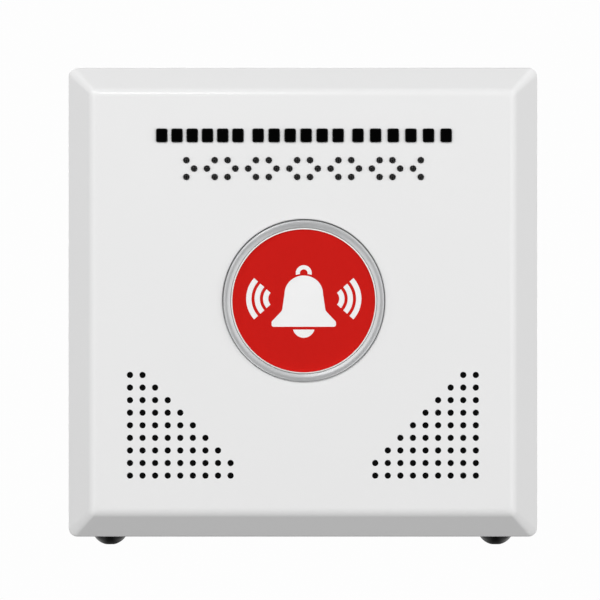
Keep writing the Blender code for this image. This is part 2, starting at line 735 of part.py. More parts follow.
def make_return_spring():
    low = HOUSING_FLOOR + HOUSING_WALL + GAP + SPRING_WIRE / 2
    high = INNER_FACE - BEZEL_FLANGE_THICKNESS - 3 * GAP - 0.0015 - SPRING_WIRE / 2
    steps = SPRING_STEPS * SPRING_TURNS
    points = []
    for i in range(steps + 1):
        x, y = on_circle(BUTTON_CENTRE, SPRING_RADIUS, FULL_TURN * SPRING_TURNS * i / steps)
        points.append((x, y, low + (high - low) * i / steps))
    add_tube("return_spring", points, SPRING_WIRE / 2, STEEL)


def bell_outline():
    """Half-ellipse dome, sides that flare along a cubic curve, and a lip with round corners."""
    dome = []
    for i in range(13):
        angle = math.pi * i / 12
        dome.append((BELL_DOME[0] * math.cos(angle), BELL_DOME_UP + BELL_DOME[1] * math.sin(angle)))
    lip = (BELL_MOUTH_HALF - BELL_LIP, BELL_BOTTOM + BELL_LIP)
    corner = arc_points(lip, BELL_LIP, -math.pi / 2, math.radians(50), 3)
    start, end = Vector((BELL_DOME[0], BELL_DOME_UP)), Vector(corner[-1])
    handle_a = start + Vector((0, -0.0052))
    handle_b = end + Vector((-0.0024, 0.0020))
    side = []
    for i in range(1, 6):
        t = i / 6
        u = 1 - t
        side.append(tuple(u**3 * end + 3 * u * u * t * handle_b + 3 * u * t * t * handle_a + t**3 * start))
    right = corner + side
    left = [(-x, y) for x, y in reversed(right)]
    return right + dome + left


def legend_outlines():
    inner, outer = LOOP_RADII
    loop = band_outline((0, LOOP_UP), inner, outer, math.radians(-22), math.radians(202), 8)
    radius = (CLAPPER_HALF**2 + CLAPPER_DROP**2) / (2 * CLAPPER_DROP)
    centre = (0, CLAPPER_TOP - CLAPPER_DROP + radius)
    reach = math.asin(CLAPPER_HALF / radius)
    clapper = arc_points(centre, radius, -math.pi / 2 - reach, -math.pi / 2 + reach, 6)
    outlines = [bell_outline(), loop, clapper]
    for radius in ARC_RADII:
        for side in (-1, 1):
            middle = 0 if side > 0 else math.pi
            centre = (side * ARC_CENTRE[0], ARC_CENTRE[1])
            band = band_outline(
                centre, radius - ARC_WIDTH, radius, middle - ARC_HALF_ANGLE, middle + ARC_HALF_ANGLE, 5
            )
            outlines.append(band)
    return outlines


# ---------------------------------------------------------------- microswitch and lamp


def make_microswitch(plunger_axis, pivot):
    length, width, height = SWITCH_SIZE
    base = HOUSING_FLOOR + HOUSING_WALL + GAP
    top = base + height
    body = add_box("microswitch_body", SWITCH_SIZE, (0, SWITCH_UP, base + height / 2), BLACK_PLASTIC)
    lever_x, lever_half = -length / 2 + 0.0002, LEVER_SIZE[1] / 2
    ear_low = (lever_x, SWITCH_UP - lever_half, top - 0.001)
    ear = (ear_low, (lever_x + 0.0012, SWITCH_UP + lever_half, LEVER_BASE - GAP))
    join(body, add_tool("lever_ear", boxes_mesh("lever_ear", [ear])))
    x = LEVER_PIVOT_X + SWITCH_PLUNGER_ARM
    half = SWITCH_PLUNGER_SIZE[0] / 2 + GAP
    plunger_top = LEVER_BASE - GAP
    plunger_low = plunger_top - SWITCH_PLUNGER_SIZE[2]
    deepest = plunger_low - BUTTON_TRAVEL * SWITCH_PLUNGER_ARM / LEVER_ARM - GAP
    pocket = ((x - half, SWITCH_UP - half, deepest), (x + half, SWITCH_UP + half, top + 0.001))
    cut(body, add_tool("plunger_pocket", boxes_mesh("plunger_pocket", [pocket])))
    centre = (x, SWITCH_UP, (plunger_top + plunger_low) / 2)
    add_box("microswitch_plunger", SWITCH_PLUNGER_SIZE, centre, RED_PLASTIC, parent=plunger_axis)
    centre = (LEVER_SIZE[0] / 2 + lever_x, SWITCH_UP, LEVER_BASE + LEVER_SIZE[2] / 2)
    add_box("microswitch_lever", LEVER_SIZE, centre, STEEL, parent=pivot)
    for i, word in enumerate(("common", "open", "closed")):
        centre = ((i - 1) * TERMINAL_PITCH, SWITCH_UP, base - GAP - TERMINAL_SIZE[2] / 2)
        add_box("switch_terminal_" + word, TERMINAL_SIZE, centre, BRASS)


def make_lamp():
    low = HOUSING_FLOOR + HOUSING_WALL + HOUSING_BOSS_HEIGHT + GAP
    high = low + BOARD_THICKNESS
    board = [(0, high), (LED_BOARD_RADIUS, high), (LED_BOARD_RADIUS, low), (0, low)]
    add_turned("led_board", board, GREEN_BOARD, at=BUTTON_AT)
    for i, (x, y) in enumerate(diagonals(LED_CIRCLE)):
        centre = (x, y, high + GAP + LED_SIZE[2] / 2)
        add_box(f"led_{i + 1}", LED_SIZE, centre, MILK_PLASTIC, edge=0.0003)


# ---------------------------------------------------------------- loudspeaker and microphone


def clamp_places():
    return [on_circle(SPEAKER_CENTRE, CLAMP_CIRCLE, math.radians(angle)) for angle in (135, -45)]


def make_speaker(cone_axis):
    at = (*SPEAKER_CENTRE, 0)
    gasket = ring_profile(0.0148, SPEAKER_RADIUS - 0.0005, 0.0362, INNER_FACE - GAP)
    add_turned("speaker_gasket", gasket, FOAM, ring=True, at=at)
    basket = [
        (SPEAKER_RADIUS, 0.0359),
        (SPEAKER_RADIUS, 0.0350),
        (0.0160, 0.0344),
        (0.0105, 0.0295),
        (0.0105, 0.0285),
        (0.0042, 0.0285),
        (0.0042, 0.0293),
        (0.0097, 0.0293),
        (0.0097, 0.0298),
        (0.0154, 0.0351),
        (0.0154, 0.0359),
    ]
    add_turned("speaker_basket", basket, STEEL, ring=True, at=at)
    cone = [
        (0, 0.0328),
        (0.0020, 0.0326),
        (0.0038, 0.0316),
        (0.0148, 0.0356),
        (0.0148, 0.0351),
        (0.0038, 0.0310),
        (0.0036, 0.0310),
        (0.0036, 0.0270),
        (0.0032, 0.0270),
        (0.0032, 0.0310),
        (0.0020, 0.0320),
        (0, 0.0322),
    ]
    add_turned("speaker_cone", cone, PAPER, at=at, parent=cone_axis)
    magnet = [
        (0, 0.0282),
        (0.0028, 0.0282),
        (0.0028, 0.0255),
        (0.0040, 0.0255),
        (0.0040, 0.0282),
        (0.0095, 0.0282),
        (0.0095, 0.0220),
        (0, 0.0220),
    ]
    add_turned("speaker_magnet", magnet, STEEL, at=at)
    for i, (x, y) in enumerate(clamp_places()):
        make_clamp(i, x, y)


def make_clamp(i, x, y):
    """A flat clip from its boss over the basket's edge, with its screw."""
    low, high = 0.0339, 0.0347
    angle = math.radians((135, -45)[i])
    inward = SPEAKER_RADIUS - 0.0012 - CLAMP_CIRCLE
    shape = boxes_mesh(f"speaker_clamp_{i + 1}", [((inward, -0.0025, low), (0.003, 0.0025, high))])
    clamp = add_part(f"speaker_clamp_{i + 1}", shape, STEEL, at=(x, y, 0), turn=(0, 0, angle))
    hole = posts_mesh(f"clamp_hole_{i + 1}", [(x, y)], 0.0016, low - 0.001, high + 0.001, SCREW_STEPS)
    cut(clamp, add_tool(f"clamp_hole_{i + 1}", hole))
    add_small_screw(f"clamp_screw_{i + 1}", (x, y, low - GAP), HEAD_TO_WALL, 0.0032, 0.0024, 0.00115)


def make_microphone():
    at = (*MICROPHONE_CENTRE, 0)
    boot = [
        (0.0070, INNER_FACE - GAP),
        (0.0070, 0.0310),
        (0.0050, 0.0310),
        (0.0050, 0.0368),
        (0.0030, 0.0368),
        (0.0030, INNER_FACE - GAP),
    ]
    add_turned("microphone_boot", boot, RUBBER, ring=True, at=at)
    capsule = [(0, 0.0365), (0.0047, 0.0365), (0.0047, 0.0313), (0, 0.0313)]
    add_turned("microphone_capsule", capsule, STEEL, at=at)
    low = 0.0310 - GAP - BOARD_THICKNESS
    board = [(0, low + BOARD_THICKNESS), (0.0068, low + BOARD_THICKNESS), (0.0068, low), (0, low)]
    add_turned("microphone_board", board, GREEN_BOARD, at=at)


# ---------------------------------------------------------------- main board


def make_main_board():
    length, width = BOARD_SIZE
    centre = (*BOARD_CENTRE, BOARD_HEIGHT + BOARD_THICKNESS / 2)
    board = add_box("main_board", (length, width, BOARD_THICKNESS), centre, GREEN_BOARD)
    below, above = BOARD_HEIGHT - 0.001, BOARD_TOP + 0.001
    holes = posts_mesh("board_holes", BOARD_SCREWS, 0.0017, below, above, SCREW_STEPS)
    cut(board, add_tool("board_holes", holes))
    for i, (x, y) in enumerate(BOARD_SCREWS):
        add_small_screw(f"board_screw_{i + 1}", (x, y, BOARD_TOP + GAP), (0, 0, 0), 0.006)
    make_terminal_block()
    add_on_board("relay", (0.015, 0.010, 0.0115), (-0.027, 0.025), BLUE_PLASTIC)
    add_on_board("processor", (0.010, 0.010, 0.0014), (0, 0.003), BLACK_PLASTIC)
    add_on_board("button_header", (0.012, 0.005, 0.006), (0, 0.033), MILK_PLASTIC)
    add_on_board("speaker_header", (0.007, 0.005, 0.006), (-0.027, -0.018), MILK_PLASTIC)
    add_on_board("microphone_header", (0.007, 0.005, 0.006), (0.027, -0.018), MILK_PLASTIC)
    base = BOARD_TOP + GAP
    can = [(0, base + 0.013), (0.0034, base + 0.013), (0.004, base + 0.0124), (0.004, base), (0, base)]
    add_turned("capacitor", can, ALUMINIUM, steps=SMALL_STEPS, at=(0.027, 0.025, 0))


def add_on_board(name, size, place, finish):
    centre = (*place, BOARD_TOP + GAP + size[2] / 2)
    return add_box(name, size, centre, finish, edge=0.0003)


def make_terminal_block():
    """Six ways, with a wire mouth in its lower side for each."""
    size, up = (0.0312, 0.008, 0.0082), -0.0185
    terminals = add_on_board("terminal_block", size, (0, up), GREEN_PLASTIC)
    low = BOARD_TOP + GAP + 0.0015
    mouths = []
    for i in range(6):
        x = (i - 2.5) * 0.005
        mouths.append(((x - 0.0017, up - size[1], low), (x + 0.0017, up + 0.0015, low + 0.0034)))
    cut(terminals, add_tool("wire_mouths", boxes_mesh("wire_mouths", mouths)))


def make_leads():
    header_top = BOARD_TOP + GAP + 0.006 + GAP
    routes = {
        "button_lead": [
            (0, SWITCH_UP, 0.0161),
            (0, 0.0142, 0.0145),
            (0, 0.0180, 0.0135),
            (0, 0.0230, 0.0145),
            (0, 0.0280, 0.0195),
            (0, 0.0315, 0.0210),
            (0, 0.0330, 0.0195),
            (0, 0.0330, header_top),
        ],
        "speaker_lead": [
            (-0.0322, -0.0322, 0.0285),
            (-0.0312, -0.0305, 0.0265),
            (-0.0292, -0.0250, 0.0245),
            (-0.0275, -0.0200, 0.0220),
            (-0.0270, -0.0180, 0.0200),
            (-0.0270, -0.0180, header_top),
        ],
        "microphone_lead": [
            (MICROPHONE_CENTRE[0], MICROPHONE_CENTRE[1], 0.0288),
            (0.0430, -0.0392, 0.0265),
            (0.0400, -0.0340, 0.0240),
            (0.0320, -0.0240, 0.0235),
            (0.0275, -0.0190, 0.0210),
            (0.0270, -0.0180, header_top),
        ],
    }
    for name, points in routes.items():
        add_tube(name, smooth_route(points, 2), 0.0011, BLACK_PLASTIC)


# ---------------------------------------------------------------- the assembly

clear_scene()
PARTS = new_collection("help_call_push_button")
TOOLS = new_collection("cutters")
WALL_FRAME = new_axis("wall_frame")
WALL_FRAME.rotation_euler = (math.pi / 2, 0, 0)

WHITE_PLASTIC = new_finish("white_plastic", (0.81, 0.81, 0.80), 0.32)
GREY_PLASTIC = new_finish("grey_plastic", (0.55, 0.56, 0.56), 0.5)
BLACK_PLASTIC = new_finish("black_plastic", (0.02, 0.02, 0.02), 0.4)
MILK_PLASTIC = new_finish("milk_plastic", (0.86, 0.86, 0.84), 0.5)
CLEAR_PLASTIC = new_finish("clear_plastic", (0.75, 0.76, 0.77), 0.12, transmission=0.9)
RED_FILM = new_finish("red_film", (0.55, 0.016, 0.013), 0.35)
RED_PLASTIC = new_finish("red_plastic", (0.5, 0.03, 0.02), 0.4)
BLUE_PLASTIC = new_finish("blue_plastic", (0.03, 0.12, 0.4), 0.4)
GREEN_PLASTIC = new_finish("green_plastic", (0.05, 0.35, 0.12), 0.45)
GREEN_BOARD = new_finish("green_board", (0.02, 0.16, 0.06), 0.4)
PAPER = new_finish("paper", (0.06, 0.06, 0.06), 0.9)
FOAM = new_finish("foam", (0.05, 0.05, 0.05), 0.95)
RUBBER = new_finish("rubber", (0.04, 0.04, 0.04), 0.8)
STEEL = new_finish("steel", (0.6, 0.6, 0.6), 0.35, metallic=1.0)
BLACK_STEEL = new_finish("black_steel", (0.015, 0.015, 0.016), 0.4, metallic=0.6)
ALUMINIUM = new_finish("aluminium", (0.7, 0.7, 0.71), 0.3, metallic=1.0)
BRASS = new_finish("brass", (0.72, 0.5, 0.2), 0.3, metallic=1.0)

BUTTON_AXIS = new_axis("button_axis", BUTTON_AT, WALL_FRAME)
SWITCH_PLUNGER_AXIS = new_axis(
    "switch_plunger_axis", (LEVER_PIVOT_X + SWITCH_PLUNGER_ARM, SWITCH_UP, 0), WALL_FRAME
)
LEVER_PIVOT = new_axis("lever_pivot", (LEVER_PIVOT_X, SWITCH_UP, LEVER_BASE + LEVER_SIZE[2] / 2), WALL_FRAME)
CONE_AXIS = new_axis("cone_axis", (*SPEAKER_CENTRE, 0), WALL_FRAME)

make_back_plate()
make_front_cover()
make_inserts()
make_case_fastening()
make_seals()
make_bezel()
make_housing()
make_moving_button(BUTTON_AXIS)
make_return_spring()
make_microswitch(SWITCH_PLUNGER_AXIS, LEVER_PIVOT)
make_lamp()
make_speaker(CONE_AXIS)
make_microphone()
make_main_board()
make_leads()
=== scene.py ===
"""Looks of the help-call push button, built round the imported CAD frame.

Metres, +Z up. The wall is the plane Y = 0 and the object faces -Y. Shapes are written as (right, up, out),
where out counts from the wall, and WORLD turns them into the row frame.
"""

import json
import math

import bmesh
import bpy
from mathutils import Matrix, Vector


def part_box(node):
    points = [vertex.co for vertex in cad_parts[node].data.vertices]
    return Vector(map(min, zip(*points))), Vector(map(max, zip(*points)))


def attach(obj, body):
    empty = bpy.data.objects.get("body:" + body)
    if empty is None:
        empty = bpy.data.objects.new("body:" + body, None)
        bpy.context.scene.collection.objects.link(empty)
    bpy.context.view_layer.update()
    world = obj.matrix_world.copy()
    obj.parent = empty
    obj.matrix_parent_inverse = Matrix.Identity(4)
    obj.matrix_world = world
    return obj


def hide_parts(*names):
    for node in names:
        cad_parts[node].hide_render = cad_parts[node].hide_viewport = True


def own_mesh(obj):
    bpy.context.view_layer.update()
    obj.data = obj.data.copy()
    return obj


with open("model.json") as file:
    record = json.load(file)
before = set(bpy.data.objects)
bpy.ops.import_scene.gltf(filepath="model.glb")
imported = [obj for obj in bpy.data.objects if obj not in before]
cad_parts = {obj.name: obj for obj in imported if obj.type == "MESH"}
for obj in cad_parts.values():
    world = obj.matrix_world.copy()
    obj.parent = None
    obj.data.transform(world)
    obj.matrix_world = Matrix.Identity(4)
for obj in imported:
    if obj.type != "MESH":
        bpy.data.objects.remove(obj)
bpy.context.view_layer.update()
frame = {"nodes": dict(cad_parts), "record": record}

WORLD = Matrix.Rotation(math.pi / 2, 4, "X")
SHARP_EDGE = math.radians(24)


# ---------------------------------------------------------------- sizes, in metres


def span(node):
    """A CAD node's lowest and highest corner, as (right, up, out)."""
    low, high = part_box(node)
    return Vector((low.x, low.z, -high.y)), Vector((high.x, high.z, -low.y))


# Cover
COVER_LOW, COVER_HIGH = span("front_cover")
CASE_HALF = COVER_HIGH.x
CASE_DEPTH = COVER_HIGH.z
RIM_HEIGHT = COVER_LOW.z
CASE_WALL = 0.0025
CASE_CHAMFER = 0.00725
CASE_CORNER = 0.0026
FRONT_CORNER = 0.0016
OUTER_FILLET = 0.0011
FRONT_FILLET = 0.0040
INNER_FACE = CASE_DEPTH - CASE_WALL
FITTING_ROOT = INNER_FACE + 0.0005  # bosses and collars reach into the front wall
HOLE_START = INNER_FACE - 0.0006  # cutters start behind the front wall
PILOT_RADIUS = 0.0016
FLARE = 0.00008  # broken edge round each small hole
FIT = 0.00005  # between a raised mark and its hole

# Sound holes
SOUND_PITCH = 0.00368
SOUND_HOLE_RADIUS = 0.00092
SOUND_OUTER_X = 0.0506
SOUND_TOP_UP = -0.0213
SOUND_ROWS = (2, 3, 4, 5, 6, 7, 8, 9, 9)
CLOTH_DEPTH = 0.0009
CLOTH_THICKNESS = 0.00012
CLOTH_MARGIN = 0.0016

# Raised beads and blocks
BEAD_CELLS = 12
BEAD_CELL_PITCH = 0.00603
BEAD_COLUMN_PITCH = 0.00226
BEAD_ROW_PITCH = 0.00246
BEAD_RADIUS = 0.00089
BEAD_CENTRE = (0.0002, 0.0391)
BLOCK_WIDTH = 0.0032
BLOCK_HEIGHT = 0.0039
BLOCKS_PER_GROUP = 6
BLOCK_UP = 0.0488
BLOCK_GROUPS = ((-0.0429, -0.0174), (-0.0147, 0.0119), (0.0145, 0.0435))
BLOCK_CORNER = 0.00045
BLOCK_EDGE = 0.00016

# Button
RING_LOW, RING_HIGH = span("button_bezel")
BUTTON_CENTRE = ((RING_LOW.x + RING_HIGH.x) / 2, (RING_LOW.y + RING_HIGH.y) / 2)
RING_FLANGE = RING_HIGH.x - BUTTON_CENTRE[0]
RING_PLAY = 0.00017  # in its hole
RING_SAG = 0.00013  # the ring rests low in its hole
RING_RADIUS = 0.0236
RING_FLANGE_TOP = RING_LOW.z + 0.002
SEAL_GROOVE = (0.0257, 0.0279, 0.0014)  # inner radius, outer radius, depth
LENS_LOW, LENS_HIGH = span("button_lens")
LENS_RADIUS = LENS_HIGH.x - BUTTON_CENTRE[0]
RIM_WIDTH = 0.0004
FILM_LOW, FILM_HIGH = span("legend_film")
FILM_RADIUS = FILM_HIGH.x - BUTTON_CENTRE[0]
TRAY_LOW, TRAY_HIGH = span("light_diffuser")
BUTTON_HOLE_LIP = 0.0004
BUTTON_STEPS = 128
RING_STEPS = 160

# Spring under the plunger
SPRING_LOW, SPRING_HIGH = span("return_spring")
SPRING_WIRE = 0.0009
SPRING_ACTIVE_TURNS = 4
SPRING_TURN_STEPS = 40
SPRING_SECTION_STEPS = 12

# Picture on the button: a bell with three sound arcs on each side
BELL_DOME = (0.00562, 0.0053)
BELL_DOME_UP = 0.00212
BELL_MOUTH_HALF = 0.00942
BELL_WAIST_HALF = 0.00635
BELL_BOTTOM = -0.00758
BELL_LIP = 0.0015
BELL_FLARE = 0.0047
LOOP_UP = 0.0081
LOOP_RADII = (0.00112, 0.00235)
CLAPPER_TOP = -0.0084
CLAPPER_HALF = 0.00313
CLAPPER_DROP = 0.0024
ARC_CENTRE = (0.0078, 0.00063)
ARC_RADII = (0.00413, 0.0066, 0.00906)
ARC_WIDTH = 0.00156
ARC_HALF_ANGLE = math.radians(42)

# Back plate
PLATE_HALF = 0.0632
PLATE_THICKNESS = 0.003
PLATE_CORNER = 0.002
HOOK_X = 0.035
WALL_HOLE_REACH = 0.045
WALL_HOLE_RADIUS = 0.00225
WALL_SEAT_RADIUS = 0.0045
WALL_SEAT_DEPTH = 0.0012
CABLE_ENTRY_UP = -0.044
CABLE_ENTRY_RADIUS = 0.0083
POCKET_DEPTH = 0.0006
POCKET_CORNER = 0.002
POCKETS = (  # middle and half size, right and up
    (0, 0.045, 0.0315, 0.0115),
    (-0.045, 0, 0.0115, 0.0315),
    (0.045, 0, 0.0115, 0.0315),
    (-0.019, 0.018, 0.0105, 0.0115),
    (0.019, 0.018, 0.0105, 0.0115),
    (-0.019, -0.018, 0.0105, 0.0115),
    (0.019, -0.018, 0.0105, 0.0115),
    (-0.0225, -0.045, 0.009, 0.0115),
    (0.0225, -0.045, 0.009, 0.0115),
)

# Plain round features
SMALL_HOLE_STEPS = 20
PIN_STEPS = 24


# ---------------------------------------------------------------- outlines and profiles


def arc(centre, radius, start, end, steps):
    points = []
    for i in range(steps + 1):
        angle = start + (end - start) * i / steps
        points.append((centre[0] + radius * math.cos(angle), centre[1] + radius * math.sin(angle)))
    return points


def circle(centre, radius, steps):
    return arc(centre, radius, 0, 2 * math.pi, steps)[:-1]


def rounded_box(centre, half_x, half_y, corner, steps=6):
    """A rectangle's outline with round corners."""
    points = []
    for i, (side_x, side_y) in enumerate(((1, 1), (-1, 1), (-1, -1), (1, -1))):
        middle = (centre[0] + side_x * (half_x - corner), centre[1] + side_y * (half_y - corner))
        points += arc(middle, corner, i * math.pi / 2, (i + 1) * math.pi / 2, steps)
    return points


def rounded(corners, steps=6):
    """A profile through (size, out, fillet) corners, each rounded by its fillet radius."""
    profile = []
    for i, (size, out, fillet) in enumerate(corners):
        corner = Vector((size, out))
        if not fillet:
            profile.append(corner)
            continue
        before = (Vector(corners[i - 1][:2]) - corner).normalized()
        after = (Vector(corners[(i + 1) % len(corners)][:2]) - corner).normalized()
        half_angle = before.angle(after) / 2
        centre = corner + (before + after).normalized() * fillet / math.sin(half_angle)
        start = (corner + before * fillet / math.tan(half_angle) - centre).normalized()
        end = (corner + after * fillet / math.tan(half_angle) - centre).normalized()
        profile += [centre + fillet * start.slerp(end, k / steps) for k in range(steps + 1)]
    return profile


# ---------------------------------------------------------------- meshes


def stack(shape, outline, levels, ring=False):
    """Adds a closed solid: outline(size) is its loop at each level of (size, out)."""
    loops = [[shape.verts.new((x, y, out)) for x, y in outline(size)] for size, out in levels]
    pairs = list(zip(loops, loops[1:]))
    if ring:
        pairs.append((loops[-1], loops[0]))
    else:
        shape.faces.new(reversed(loops[0]))
        shape.faces.new(loops[-1])
    for low, high in pairs:
        for i in range(len(low)):
            shape.faces.new((low[i - 1], low[i], high[i], high[i - 1]))


def turn(shape, levels, steps=96, centre=(0, 0), ring=False):
    """Adds a turned solid from (radius, out) levels."""
    stack(shape, lambda radius: circle(centre, radius, steps), levels, ring)


def block(shape, low, high, edge=0.0003):
    """Adds a box between two (right, up, out) corners, with its edges broken."""
    centre = ((low[0] + high[0]) / 2, (low[1] + high[1]) / 2)
    half_x, half_y = (high[0] - low[0]) / 2, (high[1] - low[1]) / 2
    levels = [(-edge, low[2]), (0, low[2] + edge), (0, high[2] - edge), (-edge, high[2])]
    stack(shape, lambda grow: rounded_box(centre, half_x + grow, half_y + grow, edge * 2 + grow, 3), levels)


def to_mesh(shape):
    """A bmesh of (right, up, out) points as a mesh in the row frame."""
    bmesh.ops.recalc_face_normals(shape, faces=shape.faces)
    shape.transform(WORLD)
    mesh = bpy.data.meshes.new("shape")
    shape.to_mesh(mesh)
    shape.free()
    return mesh


def carve(mesh, shape, operation="DIFFERENCE"):
    """The mesh with a bmesh's closed solids cut out of it, or joined onto it."""
    part = bpy.data.objects.new("part", mesh)
    tool = bpy.data.objects.new("tool", to_mesh(shape))
    for obj in (part, tool):
        bpy.context.scene.collection.objects.link(obj)
    step = part.modifiers.new("step", "BOOLEAN")
    step.operation = operation
    step.solver = "EXACT"
    step.object = tool
    graph = bpy.context.evaluated_depsgraph_get()
    result = bpy.data.meshes.new_from_object(part.evaluated_get(graph))
    for obj in (part, tool):
        bpy.data.objects.remove(obj)
    return result


def add_piece(name, mesh, finish, replaces=(), body="case"):
    """A visible piece that rides on a body, with the CAD nodes it stands for."""
    mesh.materials.clear()
    mesh.materials.append(finish)
    mesh.shade_smooth()
    mesh.set_sharp_from_angle(angle=SHARP_EDGE)
    piece = bpy.data.objects.new(name, mesh)
    bpy.context.scene.collection.objects.link(piece)
    normals = piece.modifiers.new("flat_faces_stay_flat", "WEIGHTED_NORMAL")
    normals.keep_sharp = True
    normals.weight = 100
    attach(piece, body)
    if replaces:
        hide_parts(*replaces)
    return piece


# ---------------------------------------------------------------- material building blocks


def new_finish(name, colour, roughness, metallic=0.0, sockets=None):
    finish = bpy.data.materials.new(name)
    finish.use_nodes = True
    shader = finish.node_tree.nodes["Principled BSDF"]
    shader.inputs["Base Color"].default_value = (*colour, 1)
    shader.inputs["Roughness"].default_value = roughness
    shader.inputs["Metallic"].default_value = metallic
    for socket, value in (sockets or {}).items():
        shader.inputs[socket].default_value = value
    return finish


def add_node(finish, kind, settings=None, **inputs):
    """A shader node. Each input is a value or the output that feeds it."""
    node = finish.node_tree.nodes.new("ShaderNode" + kind)
    for key, value in (settings or {}).items():
        setattr(node, key, value)
    for key, value in inputs.items():
        socket = node.inputs[key.replace("_", " ")]
        if isinstance(value, bpy.types.NodeSocket):
            finish.node_tree.links.new(value, socket)
        else:
            socket.default_value = value
    return node


def shader_of(finish):
    return finish.node_tree.nodes["Principled BSDF"]


def feed(finish, output, socket):
    finish.node_tree.links.new(output, shader_of(finish).inputs[socket])


def place(finish, stretch=(1, 1, 1)):
    """The piece's own coordinates in metres, stretched along its axes."""
    own = add_node(finish, "TexCoord").outputs["Object"]
    return add_node(finish, "Mapping", Vector=own, Scale=stretch).outputs["Vector"]


def noise(finish, scale, detail=3.0, stretch=(1, 1, 1)):
    """Noise of so many features per metre."""
    texture = add_node(finish, "TexNoise", Vector=place(finish, stretch), Scale=scale, Detail=detail)
    return texture.outputs["Fac"]


def between(finish, factor, low, high, start=0.3, end=0.7):
    """A value that goes from low to high as the factor goes from start to end."""
    inputs = {"Value": factor, "From_Min": start, "From_Max": end, "To_Min": low, "To_Max": high}
    return add_node(finish, "MapRange", **inputs).outputs["Result"]


def two_tone(finish, factor, low, high, start=0.3, end=0.7):
    """Base colour from low to high as the factor goes from start to end."""
    ramp = add_node(finish, "ValToRGB", Fac=factor)
    for stop, position, colour in zip(ramp.color_ramp.elements, (start, end), (low, high)):
        stop.position = position
        stop.color = (*colour, 1)
    feed(finish, ramp.outputs["Color"], "Base Color")


def relief(finish, *heights):
    """Bumps from (height, depth in metres) pairs."""
    normal = None
    for height, depth in heights:
        bump = add_node(finish, "Bump", Height=height, Distance=depth)
        if normal:
            finish.node_tree.links.new(normal, bump.inputs["Normal"])
        normal = bump.outputs["Normal"]
    feed(finish, normal, "Normal")


def shade(colour, factor):
    return tuple(min(1.0, channel * factor) for channel in colour)


def moulded(name, colour, roughness, grain=1800, depth=0.00001, contrast=0.03, gloss=0.06, level=0.5):
    """Moulded plastic: a fine grain, slow waves left by moulding, and patchy gloss."""
    finish = new_finish(name, colour, roughness, sockets={"Specular IOR Level": level})
    slow = noise(finish, 45, 2.0)
    two_tone(finish, slow, shade(colour, 1 - contrast), shade(colour, 1 + contrast / 2))
    feed(finish, between(finish, noise(finish, 160, 5.0), roughness - gloss, roughness + gloss), "Roughness")
    relief(finish, (noise(finish, grain, 2.0), depth), (noise(finish, 70, 2.0), depth * 4))
    return finish


def metal(name, colour, roughness, stretch=(1, 1, 12), contrast=0.12):
    """Metal with drawn or turned marks that run along the axes of least stretch."""
    finish = new_finish(name, colour, roughness, 1.0)
    marks = noise(finish, 900, 4.0, stretch)
    two_tone(finish, noise(finish, 220, 4.0), shade(colour, 1 - contrast), colour)
    feed(finish, between(finish, marks, roughness - 0.08, roughness + 0.10), "Roughness")
    relief(finish, (marks, 0.000006))
    return finish


# ---------------------------------------------------------------- materials


def white_shell():
    colour = (0.84, 0.84, 0.84)
    return moulded("white_shell", colour, 0.17, 2600, depth=0.0000008, contrast=0.004, gloss=0.02, level=0.2)


def plate_plastic():
    return moulded("plate_plastic", (0.46, 0.47, 0.475), 0.5, grain=2200, depth=0.00002, contrast=0.05)


def black_plastic():
    return moulded("black_plastic", (0.022, 0.022, 0.023), 0.42, grain=2400, depth=0.00001, contrast=0.15)


def black_marks():
    colour = (0.001, 0.001, 0.001)
    return moulded("black_marks", colour, 0.09, 3500, depth=0.000001, contrast=0.3, gloss=0.03, level=0.15)


def satin_ring():
    """Metallised plastic with a faint turned finish."""
    finish = new_finish("satin_ring", (0.44, 0.445, 0.45), 0.38, 0.35)
    turned = noise(finish, 1400, 3.0, (1, 6, 1))
    two_tone(finish, noise(finish, 120, 3.0), (0.425, 0.43, 0.435), (0.455, 0.46, 0.465))
    feed(finish, between(finish, turned, 0.34, 0.41), "Roughness")
    relief(finish, (turned, 0.0000008))
    return finish


def clear_plastic():
    """Clear polycarbonate: a polished surface over what lies behind it, with hairline scratches."""
    finish = bpy.data.materials.new("clear_plastic")
    finish.use_nodes = True
    tree = finish.node_tree
    tree.nodes.remove(tree.nodes["Principled BSDF"])
    scratches = noise(finish, 600, 6.0, (1, 1, 9))
    gloss = add_node(finish, "BsdfGlossy", Roughness=between(finish, scratches, 0.03, 0.10))
    clear = add_node(finish, "BsdfTransparent", Color=(1, 1, 1, 1))
    fresnel = add_node(finish, "Fresnel", IOR=1.5).outputs["Fac"]
    inside = add_node(finish, "NewGeometry").outputs["Backfacing"]
    share = add_node(finish, "Math", {"operation": "MULTIPLY"}, Value=fresnel)
    tree.links.new(between(finish, inside, 0.3, 0, 0, 1), share.inputs[1])
    mixed = add_node(finish, "MixShader", Fac=share.outputs["Value"])
    tree.links.new(clear.outputs["BSDF"], mixed.inputs[1])
    tree.links.new(gloss.outputs["BSDF"], mixed.inputs[2])
    tree.links.new(mixed.outputs["Shader"], tree.nodes["Material Output"].inputs["Surface"])
    return finish


def red_film():
    """Printed film: an even red with the print's fine dots."""
    finish = new_finish("red_film", (0.58, 0.012, 0.009), 0.45, sockets={"Specular IOR Level": 0.02})
    dots = add_node(finish, "TexVoronoi", Vector=place(finish), Scale=5200.0).outputs["Distance"]
    two_tone(finish, dots, (0.56, 0.011, 0.008), (0.60, 0.013, 0.010), 0.1, 0.8)
    feed(finish, between(finish, noise(finish, 400, 4.0), 0.40, 0.50), "Roughness")
    relief(finish, (dots, 0.000002))
    return finish


def white_print():
    return moulded("white_print", (0.90, 0.90, 0.90), 0.4, grain=5200, depth=0.000002, contrast=0.01)


def milk_plastic():
    return moulded("milk_plastic", (0.87, 0.87, 0.85), 0.4, grain=3000, depth=0.000004, contrast=0.02)


